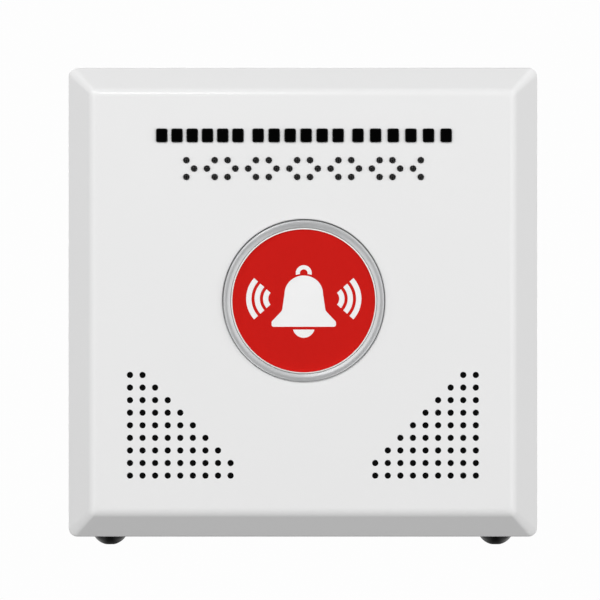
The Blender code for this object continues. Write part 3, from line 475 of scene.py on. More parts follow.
def white_plastic():
    return moulded("white_plastic", (0.80, 0.80, 0.79), 0.42, depth=0.000008, contrast=0.03)


def red_plastic():
    return moulded("red_plastic", (0.50, 0.03, 0.02), 0.38, contrast=0.08)


def blue_plastic():
    return moulded("blue_plastic", (0.03, 0.12, 0.40), 0.35, contrast=0.08)


def green_plastic():
    return moulded("green_plastic", (0.05, 0.35, 0.12), 0.42, contrast=0.08)


def circuit_board():
    """Solder mask over copper tracks."""
    finish = new_finish("circuit_board", (0.02, 0.16, 0.06), 0.3)
    tracks = add_node(finish, "TexBrick", Vector=place(finish, (1, 0, 1)), Scale=180.0, Mortar_Size=0.06)
    two_tone(finish, tracks.outputs["Fac"], (0.012, 0.13, 0.05), (0.03, 0.24, 0.09), 0.2, 0.8)
    feed(finish, between(finish, noise(finish, 300, 4.0), 0.24, 0.38), "Roughness")
    relief(finish, (tracks.outputs["Fac"], 0.00003))
    return finish


def lead_jacket():
    return moulded("lead_jacket", (0.02, 0.02, 0.021), 0.5, grain=1500, depth=0.00002, contrast=0.2)


def paper_cone():
    """Pressed paper with long fibres."""
    finish = new_finish("paper_cone", (0.05, 0.05, 0.05), 0.9)
    fibres = noise(finish, 1400, 6.0, (1, 3, 1))
    two_tone(finish, fibres, (0.03, 0.03, 0.03), (0.09, 0.088, 0.085))
    relief(finish, (fibres, 0.00008))
    return finish


def foam():
    """Closed-cell foam: small dark pits."""
    finish = new_finish("foam", (0.05, 0.05, 0.05), 0.95)
    cells = add_node(finish, "TexVoronoi", Vector=place(finish), Scale=1800.0).outputs["Distance"]
    two_tone(finish, cells, (0.015, 0.015, 0.015), (0.07, 0.07, 0.07), 0.0, 0.6)
    relief(finish, (cells, 0.0002))
    return finish


def acoustic_cloth():
    """Black woven cloth behind the sound holes: two crossed sets of threads."""
    finish = new_finish("acoustic_cloth", (0.003, 0.003, 0.003), 0.95, sockets={"Specular IOR Level": 0.1})
    weave = None
    for direction in ("X", "Z"):
        settings = {"bands_direction": direction}
        threads = add_node(finish, "TexWave", settings, Vector=place(finish), Scale=1100.0).outputs["Fac"]
        if weave:
            weave = add_node(finish, "Math", {"operation": "MULTIPLY"}, Value=weave)
            finish.node_tree.links.new(threads, weave.inputs[1])
            weave = weave.outputs["Value"]
        else:
            weave = threads
    two_tone(finish, weave, (0.001, 0.001, 0.001), (0.006, 0.006, 0.006), 0.1, 0.9)
    relief(finish, (weave, 0.00005))
    return finish


def rubber():
    """Moulded rubber: matt, with a bloom of paler patches."""
    colour = (0.035, 0.035, 0.036)
    return moulded("rubber", colour, 0.72, grain=1500, depth=0.00003, contrast=0.3, gloss=0.08)


def steel():
    return metal("steel", (0.62, 0.62, 0.61), 0.32)


def black_steel():
    """Blackened screws: a dark oxide with worn, shinier patches."""
    finish = new_finish("black_steel", (0.002, 0.002, 0.002), 0.25, 0.0, {"Specular IOR Level": 0.05})
    patches = noise(finish, 700, 5.0)
    two_tone(finish, patches, (0.001, 0.001, 0.001), (0.003, 0.003, 0.003))
    feed(finish, between(finish, patches, 0.32, 0.20), "Roughness")
    relief(finish, (noise(finish, 3000, 2.0), 0.000008))
    return finish


def aluminium():
    return metal("aluminium", (0.72, 0.72, 0.73), 0.28, stretch=(1, 10, 1))


def brass():
    return metal("brass", (0.72, 0.50, 0.20), 0.3, contrast=0.25)


FINISHES = {
    make.__name__: make()
    for make in (
        white_shell,
        plate_plastic,
        black_plastic,
        black_marks,
        satin_ring,
        clear_plastic,
        red_film,
        milk_plastic,
        white_plastic,
        red_plastic,
        blue_plastic,
        green_plastic,
        circuit_board,
        lead_jacket,
        paper_cone,
        foam,
        rubber,
        steel,
        black_steel,
        aluminium,
        brass,
    )
}


def dress_cad_nodes():
    """Each CAD node takes the finish of its slot in the record."""
    for subpart in frame["record"]["subparts"]:
        slots = frame["nodes"][subpart["node"]].data.materials
        slots.clear()
        slots.append(FINISHES[subpart["material_slot"]])


# ---------------------------------------------------------------- cover


def case_outline(half):
    """The case's square at one level. Its corners get tighter up the chamfer."""
    front_half = CASE_HALF - CASE_CHAMFER
    share = max(0.0, (half - front_half) / CASE_CHAMFER)
    return rounded_box((0, 0), half, half, FRONT_CORNER + (CASE_CORNER - FRONT_CORNER) * share, 8)


def cover_shell():
    """The white cover: an open box with a chamfered front, its inner fittings and all its holes."""
    inner_half = CASE_HALF - CASE_WALL
    inner_chamfer = CASE_CHAMFER - CASE_WALL * (2 - math.sqrt(2))
    front_half = CASE_HALF - CASE_CHAMFER
    profile = rounded(
        [
            (inner_half - inner_chamfer, INNER_FACE, 0),
            (inner_half, INNER_FACE - inner_chamfer, 0.001),
            (inner_half, RIM_HEIGHT, 0.0002),
            (CASE_HALF, RIM_HEIGHT, 0.0004),
            (CASE_HALF, CASE_DEPTH - CASE_CHAMFER, OUTER_FILLET),
            (front_half, CASE_DEPTH, FRONT_FILLET),
            (front_half - 2 * FRONT_FILLET, CASE_DEPTH, 0),
        ],
        8,
    )
    shape = bmesh.new()
    stack(shape, case_outline, profile)
    mesh = carve(to_mesh(shape), cover_collars(), "UNION")
    mesh = carve(mesh, cover_bosses(), "UNION")
    mesh = carve(mesh, cover_holes())
    return add_piece("cover_shell", mesh, FINISHES["white_shell"], ["front_cover"])


def axis_place(node):
    """Where a round node's axis stands, as (right, up)."""
    low, high = span(node)
    return (low.x + high.x) / 2, (low.y + high.y) / 2


def pin_place(node):
    """Where an upright round node's axis stands, as (right, out)."""
    low, high = span(node)
    return (low.x + high.x) / 2, (low.z + high.z) / 2


def cover_bosses():
    """Screw bosses on the cover's inner side, each with its pilot hole."""
    shape = bmesh.new()
    bosses = [(f"housing_screw_{i + 1}", 0.0035, RING_LOW.z) for i in range(4)]
    bosses += [(f"clamp_screw_{i + 1}", 0.0028, 0.035) for i in range(2)]
    for screw, radius, low in bosses:
        tip = span(screw)[1].z + 0.0002
        levels = [(radius, FITTING_ROOT), (radius, low), (PILOT_RADIUS, low), (PILOT_RADIUS, tip)]
        turn(shape, levels, PIN_STEPS, axis_place(screw))
    return shape


def cover_collars():
    """Round collars for the loudspeaker and the microphone, and ledges for the plate's hooks."""
    shape = bmesh.new()
    for node, low in (("speaker_basket", 0.0354), ("microphone_boot", 0.033)):
        corner_low, corner_high = span(node)
        inner = (corner_high.x - corner_low.x) / 2 + 0.0005
        outer = inner + 0.0013
        profile = [(inner, low), (outer, low), (outer, FITTING_ROOT), (inner, FITTING_ROOT)]
        turn(shape, profile, 48, axis_place(node), ring=True)
    for side in (-1, 1):
        x = side * HOOK_X
        block(shape, (x - 0.008, 0.0633, 0.0045), (x + 0.008, CASE_HALF - CASE_WALL + 0.0008, 0.0082))
    return shape


def hole(shape, outline):
    """A hole through the front wall with its edge broken. outline(grow) is its loop, grown by so much."""
    stack(shape, outline, [(0, HOLE_START), (0, CASE_DEPTH - FLARE), (2 * FLARE, CASE_DEPTH + FLARE)])


def cover_holes():
    """All the holes: the button's, the small ones in the front and the bolts' under the bottom edge."""
    shape = bmesh.new()
    lip_out = CASE_DEPTH - BUTTON_HOLE_LIP
    radius = RING_RADIUS + RING_PLAY
    centre = (BUTTON_CENTRE[0], BUTTON_CENTRE[1] + RING_SAG)
    lip = arc((radius + BUTTON_HOLE_LIP, lip_out), BUTTON_HOLE_LIP, math.pi, math.radians(100), 6)
    mouth = (radius + BUTTON_HOLE_LIP, CASE_DEPTH + 0.00005)
    turn(shape, [(radius, HOLE_START), *lip, mouth], BUTTON_STEPS, centre)
    for centre in sound_places():
        hole(shape, lambda grow, at=centre: circle(at, SOUND_HOLE_RADIUS + grow, SMALL_HOLE_STEPS))
    for centre in bead_places():
        hole(shape, lambda grow, at=centre: circle(at, BEAD_RADIUS + FIT + grow, SMALL_HOLE_STEPS))
    for corner in block_places():
        hole(shape, lambda grow, at=corner: block_outline(at, FIT + grow))
    for word in ("left", "right"):
        centre = pin_place("case_screw_" + word)
        drill(shape, centre, 0.0028, -CASE_HALF - 0.001, -CASE_HALF + 0.0035)
    return shape


def drill(shape, centre, radius, bottom, top):
    """Adds a round pin that stands up at (right, out) between two heights."""
    outline = circle(centre, radius, PIN_STEPS)
    low, high = [[shape.verts.new((x, up, out)) for x, out in outline] for up in (bottom, top)]
    shape.faces.new(low)
    shape.faces.new(reversed(high))
    for i in range(PIN_STEPS):
        shape.faces.new((low[i - 1], low[i], high[i], high[i - 1]))


def sound_places():
    """The sound holes of both triangles, row by row."""
    places = []
    for row, count in enumerate(SOUND_ROWS):
        for column in range(count):
            x = SOUND_OUTER_X - SOUND_PITCH * column
            y = SOUND_TOP_UP - SOUND_PITCH * row
            places += [(x, y), (-x, y)]
    return places


def bead_places():
    """Cells of three beads, pointing right and left in turn."""
    places = []
    for cell in range(BEAD_CELLS):
        x = BEAD_CENTRE[0] + BEAD_CELL_PITCH * (cell - (BEAD_CELLS - 1) / 2)
        for row in (-1, 0, 1):
            side = (-1) ** (row + cell)
            places.append((x + side * BEAD_COLUMN_PITCH / 2, BEAD_CENTRE[1] + row * BEAD_ROW_PITCH))
    return places


def block_places():
    """The lower left corner of each plain block."""
    places = []
    for left, right in BLOCK_GROUPS:
        pitch = (right - left - BLOCK_WIDTH) / (BLOCKS_PER_GROUP - 1)
        places += [(left + pitch * i, BLOCK_UP - BLOCK_HEIGHT / 2) for i in range(BLOCKS_PER_GROUP)]
    return places


def block_outline(at, grow):
    centre = (at[0] + BLOCK_WIDTH / 2, at[1] + BLOCK_HEIGHT / 2)
    return rounded_box(centre, BLOCK_WIDTH / 2 + grow, BLOCK_HEIGHT / 2 + grow, BLOCK_CORNER + grow, 4)


def strip_under(node, shape):
    """Adds the strip that raised marks stand on. Returns the heights of its middle and of the marks."""
    low, high = span(node)
    top = INNER_FACE - 0.0003
    block(shape, low, (high.x, high.y, top), 0.0002)
    return (low.z + top) / 2, high.z


def bead_row():
    """Domed beads on their strip, which stand through the front wall."""
    strip, beads = bmesh.new(), bmesh.new()
    root, top = strip_under("bead_insert", strip)
    proud = top - CASE_DEPTH
    for centre in bead_places():
        dome = [(BEAD_RADIUS * math.cos(a), CASE_DEPTH + proud * math.sin(a)) for a in dome_angles(8)]
        turn(beads, [(BEAD_RADIUS, root), *dome], PIN_STEPS, centre)
    mesh = carve(to_mesh(strip), beads, "UNION")
    return add_piece("bead_row", mesh, FINISHES["black_marks"], ["bead_insert"])


def dome_angles(steps):
    """From a dome's foot almost to its top."""
    return [math.radians(89) * i / steps for i in range(steps + 1)]


def heading_row():
    """Plain raised blocks in place of a heading."""
    strip, blocks = bmesh.new(), bmesh.new()
    root, top = strip_under("heading_insert", strip)
    angles = dome_angles(4)
    for at in block_places():
        edge = [(BLOCK_EDGE * (math.cos(a) - 1), top - BLOCK_EDGE * (1 - math.sin(a))) for a in angles]
        stack(blocks, lambda grow, at=at: block_outline(at, grow), [(0, root), *edge])
    mesh = carve(to_mesh(strip), blocks, "UNION")
    return add_piece("heading_row", mesh, FINISHES["black_marks"], ["heading_insert"])


def acoustic_cloths():
    """Black cloth moulded into the front wall, across each group of sound holes."""
    finish = acoustic_cloth()
    high = CASE_DEPTH - CLOTH_DEPTH
    rows, widest = len(SOUND_ROWS) - 1, max(SOUND_ROWS) - 1
    margin = SOUND_HOLE_RADIUS + CLOTH_MARGIN
    outer, top = SOUND_OUTER_X + margin, SOUND_TOP_UP + margin
    inner, bottom = SOUND_OUTER_X - SOUND_PITCH * widest - margin, SOUND_TOP_UP - SOUND_PITCH * rows - margin
    shoulder = SOUND_TOP_UP - SOUND_PITCH * (rows - 1) + margin
    top_inner = SOUND_OUTER_X - SOUND_PITCH - margin
    outline = [(outer, bottom), (outer, top), (top_inner, top), (inner, shoulder), (inner, bottom)]
    for side, word in ((-1, "left"), (1, "right")):
        shape = bmesh.new()
        loop = [(side * x, y) for x, y in outline]
        stack(shape, lambda grow, loop=loop: loop, [(0, high - CLOTH_THICKNESS), (0, high)])
        add_piece("acoustic_cloth_" + word, to_mesh(shape), finish)


# ---------------------------------------------------------------- button


def button_ring():
    """Satin ring: a crowned front, and a flange with the seal's groove behind the cover."""
    inner, outer, depth = SEAL_GROOVE
    bore = LENS_RADIUS + 0.0001
    profile = rounded(
        [
            (bore, RING_LOW.z, 0),
            (RING_FLANGE, RING_LOW.z, 0.0003),
            (RING_FLANGE, RING_FLANGE_TOP, 0.0003),
            (outer, RING_FLANGE_TOP, 0),
            (outer, RING_FLANGE_TOP - depth, 0),
            (inner, RING_FLANGE_TOP - depth, 0),
            (inner, RING_FLANGE_TOP, 0),
            (RING_RADIUS, RING_FLANGE_TOP, 0),
            (RING_RADIUS, RING_HIGH.z - 0.0001, 0.0005),
            (RING_RADIUS - 0.0011, RING_HIGH.z, 0.002),
            (bore, RING_HIGH.z - 0.0003, 0.00015),
        ],
        8,
    )
    shape = bmesh.new()
    turn(shape, profile, RING_STEPS, BUTTON_CENTRE, ring=True)
    return add_piece("button_ring", to_mesh(shape), FINISHES["satin_ring"], ["button_bezel"])


def button_window():
    """Clear front of the button, inside a white rim moulded round it."""
    inner, rim_bore = LENS_RADIUS - RIM_WIDTH, LENS_RADIUS - RIM_WIDTH + 0.00002
    window, rim = bmesh.new(), bmesh.new()
    profile = rounded(
        [
            (inner, LENS_LOW.z, 0),
            (inner, LENS_HIGH.z, 0.00006),
            (inner - 0.002, LENS_HIGH.z, 0),
        ],
        4,
    )
    turn(window, profile, BUTTON_STEPS, BUTTON_CENTRE)
    finish = FINISHES["clear_plastic"]
    add_piece("button_window", to_mesh(window), finish, ["button_lens"], "button")
    profile = rounded(
        [
            (rim_bore, LENS_LOW.z, 0),
            (LENS_RADIUS, LENS_LOW.z, 0),
            (LENS_RADIUS, LENS_HIGH.z, 0.00035),
            (rim_bore, LENS_HIGH.z, 0.00004),
        ],
        8,
    )
    turn(rim, profile, BUTTON_STEPS, BUTTON_CENTRE, ring=True)
    piece = add_piece("button_rim", to_mesh(rim), FINISHES["milk_plastic"], body="button")
    piece.visible_shadow = False


def coil_heights(bottom, top):
    """The wire's height at each step: a closed turn, the active turns, and a closed turn."""
    low, high = bottom + SPRING_WIRE, top - SPRING_WIRE
    heights = []
    for start, end, turns in ((bottom, low, 1), (low, high, SPRING_ACTIVE_TURNS), (high, top, 1)):
        steps = turns * SPRING_TURN_STEPS
        heights += [start + (end - start) * i / steps for i in range(steps)]
    return heights + [top]


def spring_coil():
    """Compression spring, which shortens towards its fixed end as the button goes in."""
    wire = SPRING_WIRE / 2
    radius = SPRING_HIGH.x - BUTTON_CENTRE[0] - wire
    shape = bmesh.new()
    loops = []
    for i, height in enumerate(coil_heights(SPRING_LOW.z + wire, SPRING_HIGH.z - wire)):
        angle = 2 * math.pi * i / SPRING_TURN_STEPS
        right, up = math.cos(angle), math.sin(angle)
        section = circle((radius, height), wire, SPRING_SECTION_STEPS)
        places = [(BUTTON_CENTRE[0] + r * right, BUTTON_CENTRE[1] + r * up, out) for r, out in section]
        loops.append([shape.verts.new(place) for place in places])
    for start, end in zip(loops, loops[1:]):
        for i in range(SPRING_SECTION_STEPS):
            shape.faces.new((start[i - 1], start[i], end[i], end[i - 1]))
    shape.faces.new(loops[0])
    shape.faces.new(reversed(loops[-1]))
    coil = add_piece("spring_coil", to_mesh(shape), FINISHES["steel"], ["return_spring"])
    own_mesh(coil)


def legend():
    """The red film with its picture cut out, and the white picture that fills the cuts."""
    film, cuts, picture = bmesh.new(), bmesh.new(), bmesh.new()
    turn(film, [(FILM_RADIUS, FILM_LOW.z), (FILM_RADIUS, FILM_HIGH.z)], BUTTON_STEPS, BUTTON_CENTRE)
    for flat in legend_outlines():
        outline = [(x + BUTTON_CENTRE[0], y + BUTTON_CENTRE[1]) for x, y in flat]
        stack(cuts, lambda size: outline, [(0, FILM_LOW.z - 0.0005), (0, FILM_HIGH.z + 0.0005)])
        stack(picture, lambda size: outline, [(0, FILM_LOW.z), (0, FILM_HIGH.z - 0.00002)])
    mesh = carve(to_mesh(film), cuts)
    add_piece("legend_red", mesh, FINISHES["red_film"], ["legend_film"], "button")
    add_piece("legend_white", to_mesh(picture), white_print(), body="button")


def band(centre, inner, outer, start, end, steps):
    """The outline of a bent band between two angles."""
    return arc(centre, outer, start, end, steps) + arc(centre, inner, end, start, steps)


def bell_outline():
    """Half-ellipse dome, nearly straight sides, and a flared lip with round corners."""
    dome = [(BELL_DOME[0] * x, BELL_DOME_UP + BELL_DOME[1] * y) for x, y in arc((0, 0), 1, 0, math.pi, 36)]
    corners = [
        (0, BELL_BOTTOM, 0),
        (BELL_MOUTH_HALF, BELL_BOTTOM, 0.0006),
        (BELL_MOUTH_HALF, BELL_BOTTOM + BELL_LIP, 0.0008),
        (BELL_WAIST_HALF, BELL_BOTTOM + BELL_FLARE, 0.0020),
        (*dome[0], 0),
    ]
    right = [tuple(point) for point in rounded(corners, 8)[1:-1]]
    return right + dome + [(-x, y) for x, y in reversed(right)]


def legend_outlines():
    """The bell with its loop and clapper, and three sound arcs on each side."""
    inner, outer = LOOP_RADII
    loop = band((0, LOOP_UP), inner, outer, math.radians(-12), math.radians(192), 28)
    radius = (CLAPPER_HALF**2 + CLAPPER_DROP**2) / (2 * CLAPPER_DROP)
    reach = math.asin(CLAPPER_HALF / radius)
    centre = (0, CLAPPER_TOP - CLAPPER_DROP + radius)
    clapper = arc(centre, radius, -math.pi / 2 - reach, -math.pi / 2 + reach, 24)
    outlines = [bell_outline(), loop, clapper]
    for radius in ARC_RADII:
        for side, middle in ((1, 0), (-1, math.pi)):
            centre = (side * ARC_CENTRE[0], ARC_CENTRE[1])
            start, end = middle - ARC_HALF_ANGLE, middle + ARC_HALF_ANGLE
            outlines.append(band(centre, radius - ARC_WIDTH, radius, start, end, 18))
    return outlines


def light_tray():
    """Opal tray that spreads the lamp's light and holds the film by its rim."""
    outer, inner = LENS_RADIUS - 0.00005, FILM_RADIUS + 0.00005
    rim = LENS_LOW.z - 0.0001
    profile = [
        (outer - 0.0003, TRAY_LOW.z),
        (outer, TRAY_LOW.z + 0.0003),
        (outer, rim),
        (inner, rim),
        (inner, TRAY_HIGH.z),
    ]
    shape = bmesh.new()
    turn(shape, profile, BUTTON_STEPS, BUTTON_CENTRE)
    finish = FINISHES["milk_plastic"]
    return add_piece("light_tray", to_mesh(shape), finish, ["light_diffuser"], "button")


# ---------------------------------------------------------------- case screws


def case_bolts():
    """Button-head screws under the case: a domed head with a hexagon socket, and a threaded shank."""
    for word in ("left", "right"):
        low, high = span("case_screw_" + word)
        head_up = -CASE_HALF - 0.0003
        middle = pin_place("case_screw_" + word)
        head_height, head_radius = head_up - low.y, (high.x - low.x) / 2
        mesh = to_mesh(bolt_shape(head_radius, head_height, 0.0024, high.y - head_up))
        socket = bmesh.new()
        turn(socket, [(0.0004, head_height - 0.0021), (0.0013, head_height - 0.0015), (0.0013, 0.004)], 6)
        mesh = carve(mesh, socket)
        # The screw is made pointing out of the wall, and turned so that its head points down.
        mesh.transform(Matrix.Translation((middle[0], -middle[1], head_up)) @ WORLD)
        add_piece("case_bolt_" + word, mesh, FINISHES["black_steel"], ["case_screw_" + word])


def bolt_shape(head_radius, head_height, shank_radius, shank_length):
    """A screw along its own axis, its head above zero and its thread below."""
    pitch, depth = 0.0008, 0.0003
    base = head_height * 0.96
    dome = (head_radius**2 + base**2) / (2 * base)
    start, end = math.asin(0.0014 / dome), math.asin(head_radius / dome)
    levels = []
    for i in range(15):
        angle = start + (end - start) * i / 14
        levels.append((dome * math.sin(angle), dome * math.cos(angle) - dome + base))
    rise = head_height - levels[0][1]
    levels = [(radius, out + rise) for radius, out in levels]
    levels += [(head_radius, 0.0001), (head_radius - 0.0001, 0), (shank_radius, 0)]
    below = 0.001
    while below + pitch < shank_length:
        levels += [(shank_radius, -below), (shank_radius - depth, -below - pitch * 0.4)]
        levels += [(shank_radius - depth, -below - pitch * 0.5), (shank_radius, -below - pitch * 0.9)]
        below += pitch
    levels.append((shank_radius - depth, -shank_length))
    shape = bmesh.new()
    turn(shape, levels, 48)
    return shape


# ---------------------------------------------------------------- back


def plate_shell():
    """Back plate: shallow pockets in its wall face, its holes, and the fittings on its inner side."""
    profile = rounded(
        [
            (PLATE_HALF - 0.002, 0, 0),
            (PLATE_HALF, 0, 0.0005),
            (PLATE_HALF, PLATE_THICKNESS, 0.0003),
            (PLATE_HALF - 0.002, PLATE_THICKNESS, 0),
        ],
        4,
    )
    shape = bmesh.new()
    stack(shape, lambda half: rounded_box((0, 0), half, half, PLATE_CORNER, 6), profile)
    mesh = to_mesh(shape)
    for fixtures in plate_fixtures():
        mesh = carve(mesh, fixtures, "UNION")
    mesh = carve(mesh, plate_pockets())
    mesh = carve(mesh, plate_holes())
    return add_piece("plate_shell", mesh, FINISHES["plate_plastic"], ["back_plate"])


def plate_fixtures():
    """Screw blocks, hooks and the main board's posts. Each kind is its own set of solids."""
    blocks, lugs, lips, posts = (bmesh.new() for _ in range(4))
    inside = PLATE_THICKNESS - 0.001
    for word, side in (("left", -1), ("right", 1)):
        low, high = span("case_insert_" + word)
        x = (low.x + high.x) / 2
        block(blocks, (x - 0.0055, low.y - 0.0003, PLATE_THICKNESS - 0.0002), (x + 0.0055, -0.054, 0.024))
        hook = side * HOOK_X
        block(lugs, (hook - 0.006, 0.055, inside), (hook + 0.006, 0.0629, 0.011))
        block(lips, (hook - 0.0055, 0.0610, 0.0085), (hook + 0.0055, 0.0661, 0.0107))
    post_top = span("main_board")[0].z - 0.0003
    for i in range(4):
        turn(posts, [(0.0035, inside), (0.0035, post_top)], PIN_STEPS, axis_place(f"board_screw_{i + 1}"))
    return blocks, lugs, lips, posts


def plate_pockets():
    """Shallow pockets in the wall face, with a land left round its edge, its holes and the cable entry."""
    shape = bmesh.new()
    levels = [(0.0006, -0.0004), (0, 0.0002), (-0.0002, POCKET_DEPTH)]
    corner = POCKET_CORNER
    for x, y, half_x, half_y in POCKETS:
        stack(shape, lambda grow: rounded_box((x, y), half_x + grow, half_y + grow, corner + grow), levels)
    return shape


def plate_holes():
    """Wall holes with their seats, the cable entry, and the pilot and insert holes."""
    shape = bmesh.new()
    reach = WALL_HOLE_REACH
    seat = PLATE_THICKNESS - WALL_SEAT_DEPTH
    for centre in ((-reach, -reach), (reach, -reach), (-reach, reach), (reach, reach)):
        levels = [
            (WALL_HOLE_RADIUS + 0.0006, -0.0002),
            (WALL_HOLE_RADIUS, 0.0003),
            (WALL_HOLE_RADIUS, seat),
            (WALL_SEAT_RADIUS, seat),
            (WALL_SEAT_RADIUS, 0.004),
        ]
        turn(shape, levels, 40, centre)
    entry = [(CABLE_ENTRY_RADIUS, -0.001), (CABLE_ENTRY_RADIUS, 0.004)]
    turn(shape, entry, 64, (0, CABLE_ENTRY_UP))
    for i in range(4):
        pilot = [(PILOT_RADIUS, PLATE_THICKNESS + 0.0005), (PILOT_RADIUS, 0.01)]
        turn(shape, pilot, 16, axis_place(f"board_screw_{i + 1}"))
    for word in ("left", "right"):
        insert = "case_insert_" + word
        mouth = span(insert)[0].y
        drill(shape, pin_place(insert), 0.004, mouth - 0.001, mouth + 0.0096)
    return shape


def wall_seal():
    """Rubber seal round the plate, with two ribs on its wall side."""
    low, high = span("wall_gasket")
    outer, inner = high.x, PLATE_HALF + 0.0003
    middle = (outer + inner) / 2
    profile = rounded(
        [
            (inner, high.z, 0.0003),
            (outer, high.z, 0.0003),
            (outer, low.z, 0.0006),
            (middle + 0.0003, low.z, 0.0003),
            (middle, low.z + 0.0006, 0.0002),
            (middle - 0.0003, low.z, 0.0003),
            (inner, low.z, 0.0006),
        ],
        4,
    )
    shape = bmesh.new()
    stack(shape, lambda half: rounded_box((0, 0), half, half, 0.0018, 6), profile, ring=True)
    return add_piece("wall_seal", to_mesh(shape), FINISHES["rubber"], ["wall_gasket"])


def entry_grommet():
    """Rubber grommet in the cable entry: a flange inside, a lip on the wall side and a thin sleeve."""
    low, high = span("cable_grommet")
    neck = CABLE_ENTRY_RADIUS - 0.0001
    flange, bore = (high.x - low.x) / 2, 0.0045
    top = high.z
    profile = rounded(
        [
            (flange, top, 0.0006),
            (flange, PLATE_THICKNESS + 0.0001, 0.0003),
            (neck, PLATE_THICKNESS + 0.0001, 0),
            (neck, low.z, 0.0004),
            (neck - 0.0014, low.z, 0.0002),
            (neck - 0.0018, low.z + 0.0008, 0.0002),
            (bore + 0.0012, low.z + 0.0010, 0.0002),
            (bore + 0.0008, low.z, 0.0003),
            (bore, low.z, 0.0003),
            (bore, top, 0.0005),
        ],
        4,
    )
    shape = bmesh.new()
    turn(shape, profile, 72, (0, CABLE_ENTRY_UP), ring=True)
    return add_piece("entry_grommet", to_mesh(shape), FINISHES["rubber"], ["cable_grommet"])


# ---------------------------------------------------------------- floor, light and camera


FLOOR_DROP = 0.15
FLOOR_RADIUS = 0.78
WORLD_LIGHT = 0.22
WORLD_SEEN = 0.985
ROOM_DARKEST = 0.05  # in the room that reflections see
ROOM_TONES = {  # brightness at places from -1 to 1 along each axis
    "X": [(-1, 0.5), (-0.5, 2.6), (-0.16, 0), (0.16, 0), (0.5, 2.7), (1, 0.6)],
    "Z": [(-1, 0.6), (-0.45, 0.2), (-0.1, 0), (0.1, 0), (0.35, 0.1), (1, 0)],
}
CAMERA_DISTANCE = 1.2  # from the chamfer's outer edge
FRAME_WIDTH = 0.1766  # seen at that distance
CAMERA_OFFSET = (-0.00085, 0.00065)  # right and up of the case's centre


def pale_floor():
    """A pale floor under the hanging object, which fades out towards its edge."""
    finish = new_finish("pale_floor", (0.86, 0.86, 0.86), 0.8)
    two_tone(finish, noise(finish, 30, 3.0), (0.855, 0.855, 0.855), (0.87, 0.87, 0.87))
    tree = finish.node_tree
    own = add_node(finish, "TexCoord").outputs["Object"]
    reach = add_node(finish, "VectorMath", {"operation": "LENGTH"})
    tree.links.new(own, reach.inputs[0])
    fade = between(finish, reach.outputs["Value"], 0.0, 1.0, FLOOR_RADIUS * 0.45, FLOOR_RADIUS)
    clear = add_node(finish, "BsdfTransparent")
    mixed = add_node(finish, "MixShader", Fac=fade)
    tree.links.new(shader_of(finish).outputs["BSDF"], mixed.inputs[1])
    tree.links.new(clear.outputs["BSDF"], mixed.inputs[2])
    tree.links.new(mixed.outputs["Shader"], tree.nodes["Material Output"].inputs["Surface"])
    shape = bmesh.new()
    shape.faces.new([shape.verts.new((x, y, 0)) for x, y in circle((0, 0), FLOOR_RADIUS, 96)])
    mesh = bpy.data.meshes.new("floor")
    shape.to_mesh(mesh)
    shape.free()
    mesh.materials.append(finish)
    floor = bpy.data.objects.new("floor", mesh)
    floor.location = (0, 0, -CASE_HALF - FLOOR_DROP)
    floor.visible_diffuse = False
    floor.visible_glossy = False
    floor.visible_shadow = False
    bpy.context.scene.collection.objects.link(floor)


def room_tone(tree, position, stops):
    """The room's brightness at a position from -1 to 1, eased between its stops."""
    half = tree.nodes.new("ShaderNodeMapRange")
    half.inputs["From Min"].default_value = -1
    tree.links.new(position, half.inputs["Value"])
    ramp = tree.nodes.new("ShaderNodeValToRGB")
    ramp.color_ramp.interpolation = "EASE"
    elements = ramp.color_ramp.elements
    while len(elements) < len(stops):
        elements.new(0.5)
    brightest = max(tone for _, tone in stops)
    for stop, (at, tone) in zip(elements, stops):
        stop.position = (at + 1) / 2
        stop.color = (*([tone / brightest] * 3), 1)
    tree.links.new(half.outputs["Result"], ramp.inputs["Fac"])
    scaled = tree.nodes.new("ShaderNodeMath")
    scaled.operation = "MULTIPLY"
    scaled.inputs[1].default_value = brightest
    tree.links.new(ramp.outputs["Color"], scaled.inputs[0])
    return scaled.outputs["Value"]


def studio_world():
    """Near-white to look at, and a weak even light. Reflections see a room with brighter sides."""
    world = bpy.data.worlds.new("studio")
    world.use_nodes = True
    tree = world.node_tree
    path = tree.nodes.new("ShaderNodeLightPath")
    tree.nodes["Background"].inputs["Color"].default_value = (1, 1, 1, 1)
    tree.nodes["Background"].inputs["Strength"].default_value = WORLD_LIGHT
    shown = tree.nodes["Background"].outputs["Background"]
    direction = tree.nodes.new("ShaderNodeSeparateXYZ")
    tree.links.new(tree.nodes.new("ShaderNodeTexCoord").outputs["Generated"], direction.inputs["Vector"])
    room = None
    for axis, stops in ROOM_TONES.items():
        tone = room_tone(tree, direction.outputs[axis], stops)
        added = tree.nodes.new("ShaderNodeMath")
        added.inputs[1].default_value = ROOM_DARKEST
        if room:
            tree.links.new(room, added.inputs[1])
        tree.links.new(tone, added.inputs[0])
        room = added.outputs["Value"]
    for rays in ("Is Glossy Ray", "Is Camera Ray"):  # the camera's mix comes last, over the other
        light = tree.nodes.new("ShaderNodeBackground")
        light.inputs["Color"].default_value = (1, 1, 1, 1)
        light.inputs["Strength"].default_value = WORLD_SEEN
        if rays == "Is Glossy Ray":
            tree.links.new(room, light.inputs["Strength"])
        mixed = tree.nodes.new("ShaderNodeMixShader")
        tree.links.new(path.outputs[rays], mixed.inputs["Fac"])
        tree.links.new(shown, mixed.inputs[1])
        tree.links.new(light.outputs["Background"], mixed.inputs[2])
        shown = mixed.outputs["Shader"]
    tree.links.new(shown, tree.nodes["World Output"].inputs["Surface"])
    bpy.context.scene.world = world


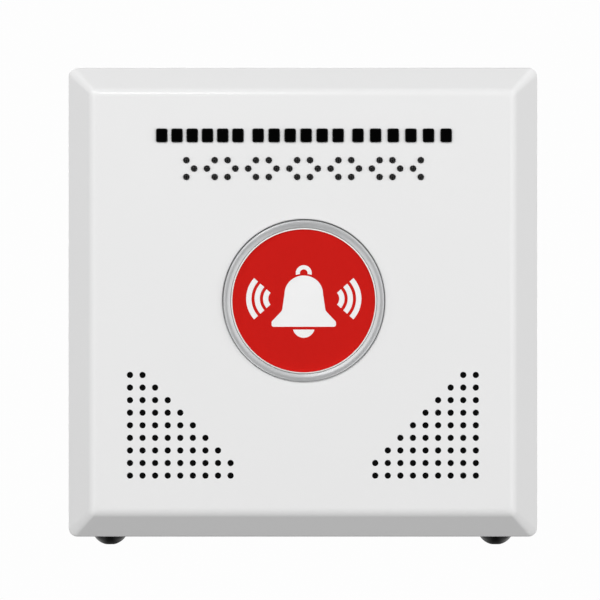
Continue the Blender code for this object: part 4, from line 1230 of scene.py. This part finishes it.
def softbox(name, azimuth, elevation, distance, size, radiance):
    """A soft light aimed at the case. Azimuth 0 is straight in front, and 90 to the right."""
    a, e = math.radians(azimuth), math.radians(elevation)
    towards = Vector((math.sin(a) * math.cos(e), -math.cos(a) * math.cos(e), math.sin(e)))
    light = bpy.data.lights.new(name, "AREA")
    light.shape = "RECTANGLE"
    light.size, light.size_y = size
    light.energy = radiance * math.pi * size[0] * size[1]
    lamp = bpy.data.objects.new(name, light)
    lamp.location = Vector((0, -CASE_DEPTH, 0)) + towards * distance
    lamp.rotation_mode = "QUATERNION"
    lamp.rotation_quaternion = towards.to_track_quat("Z", "Y")
    lamp.visible_camera = False
    lamp.visible_glossy = False
    bpy.context.scene.collection.objects.link(lamp)
    return lamp


def studio_lights():
    """A key light over the front, one at each side, and one for the back."""
    key = softbox("key_light", -18, 37, 1.65, (0.8, 0.24), 18.5)
    softbox("left_light", -52, 4, 1.6, (1.5, 1.4), 1.4)
    softbox("right_light", 52, 4, 1.6, (1.5, 1.4), 2.22)
    back = softbox("back_light", 200, 35, 1.2, (0.9, 0.6), 2.2)
    for lamp in (key, back):
        lamp.visible_glossy = True


def front_camera():
    """A long lens straight in front of the case."""
    data = bpy.data.cameras.new("camera")
    data.sensor_width = 36
    data.lens = data.sensor_width * CAMERA_DISTANCE / FRAME_WIDTH
    data.clip_start, data.clip_end = 0.05, 50
    camera = bpy.data.objects.new("camera", data)
    edge_out = CASE_DEPTH - CASE_CHAMFER
    camera.location = (CAMERA_OFFSET[0], -edge_out - CAMERA_DISTANCE, CAMERA_OFFSET[1])
    camera.rotation_euler = (math.pi / 2, 0, 0)
    bpy.context.scene.collection.objects.link(camera)
    bpy.context.scene.camera = camera


# ---------------------------------------------------------------- the scene

dress_cad_nodes()
cover_shell()
bead_row()
heading_row()
acoustic_cloths()
button_ring()
button_window()
legend()
light_tray()
spring_coil()
case_bolts()
plate_shell()
wall_seal()
entry_grommet()
pale_floor()
studio_world()
studio_lights()
front_camera()
bpy.context.scene.view_settings.view_transform = "Standard"
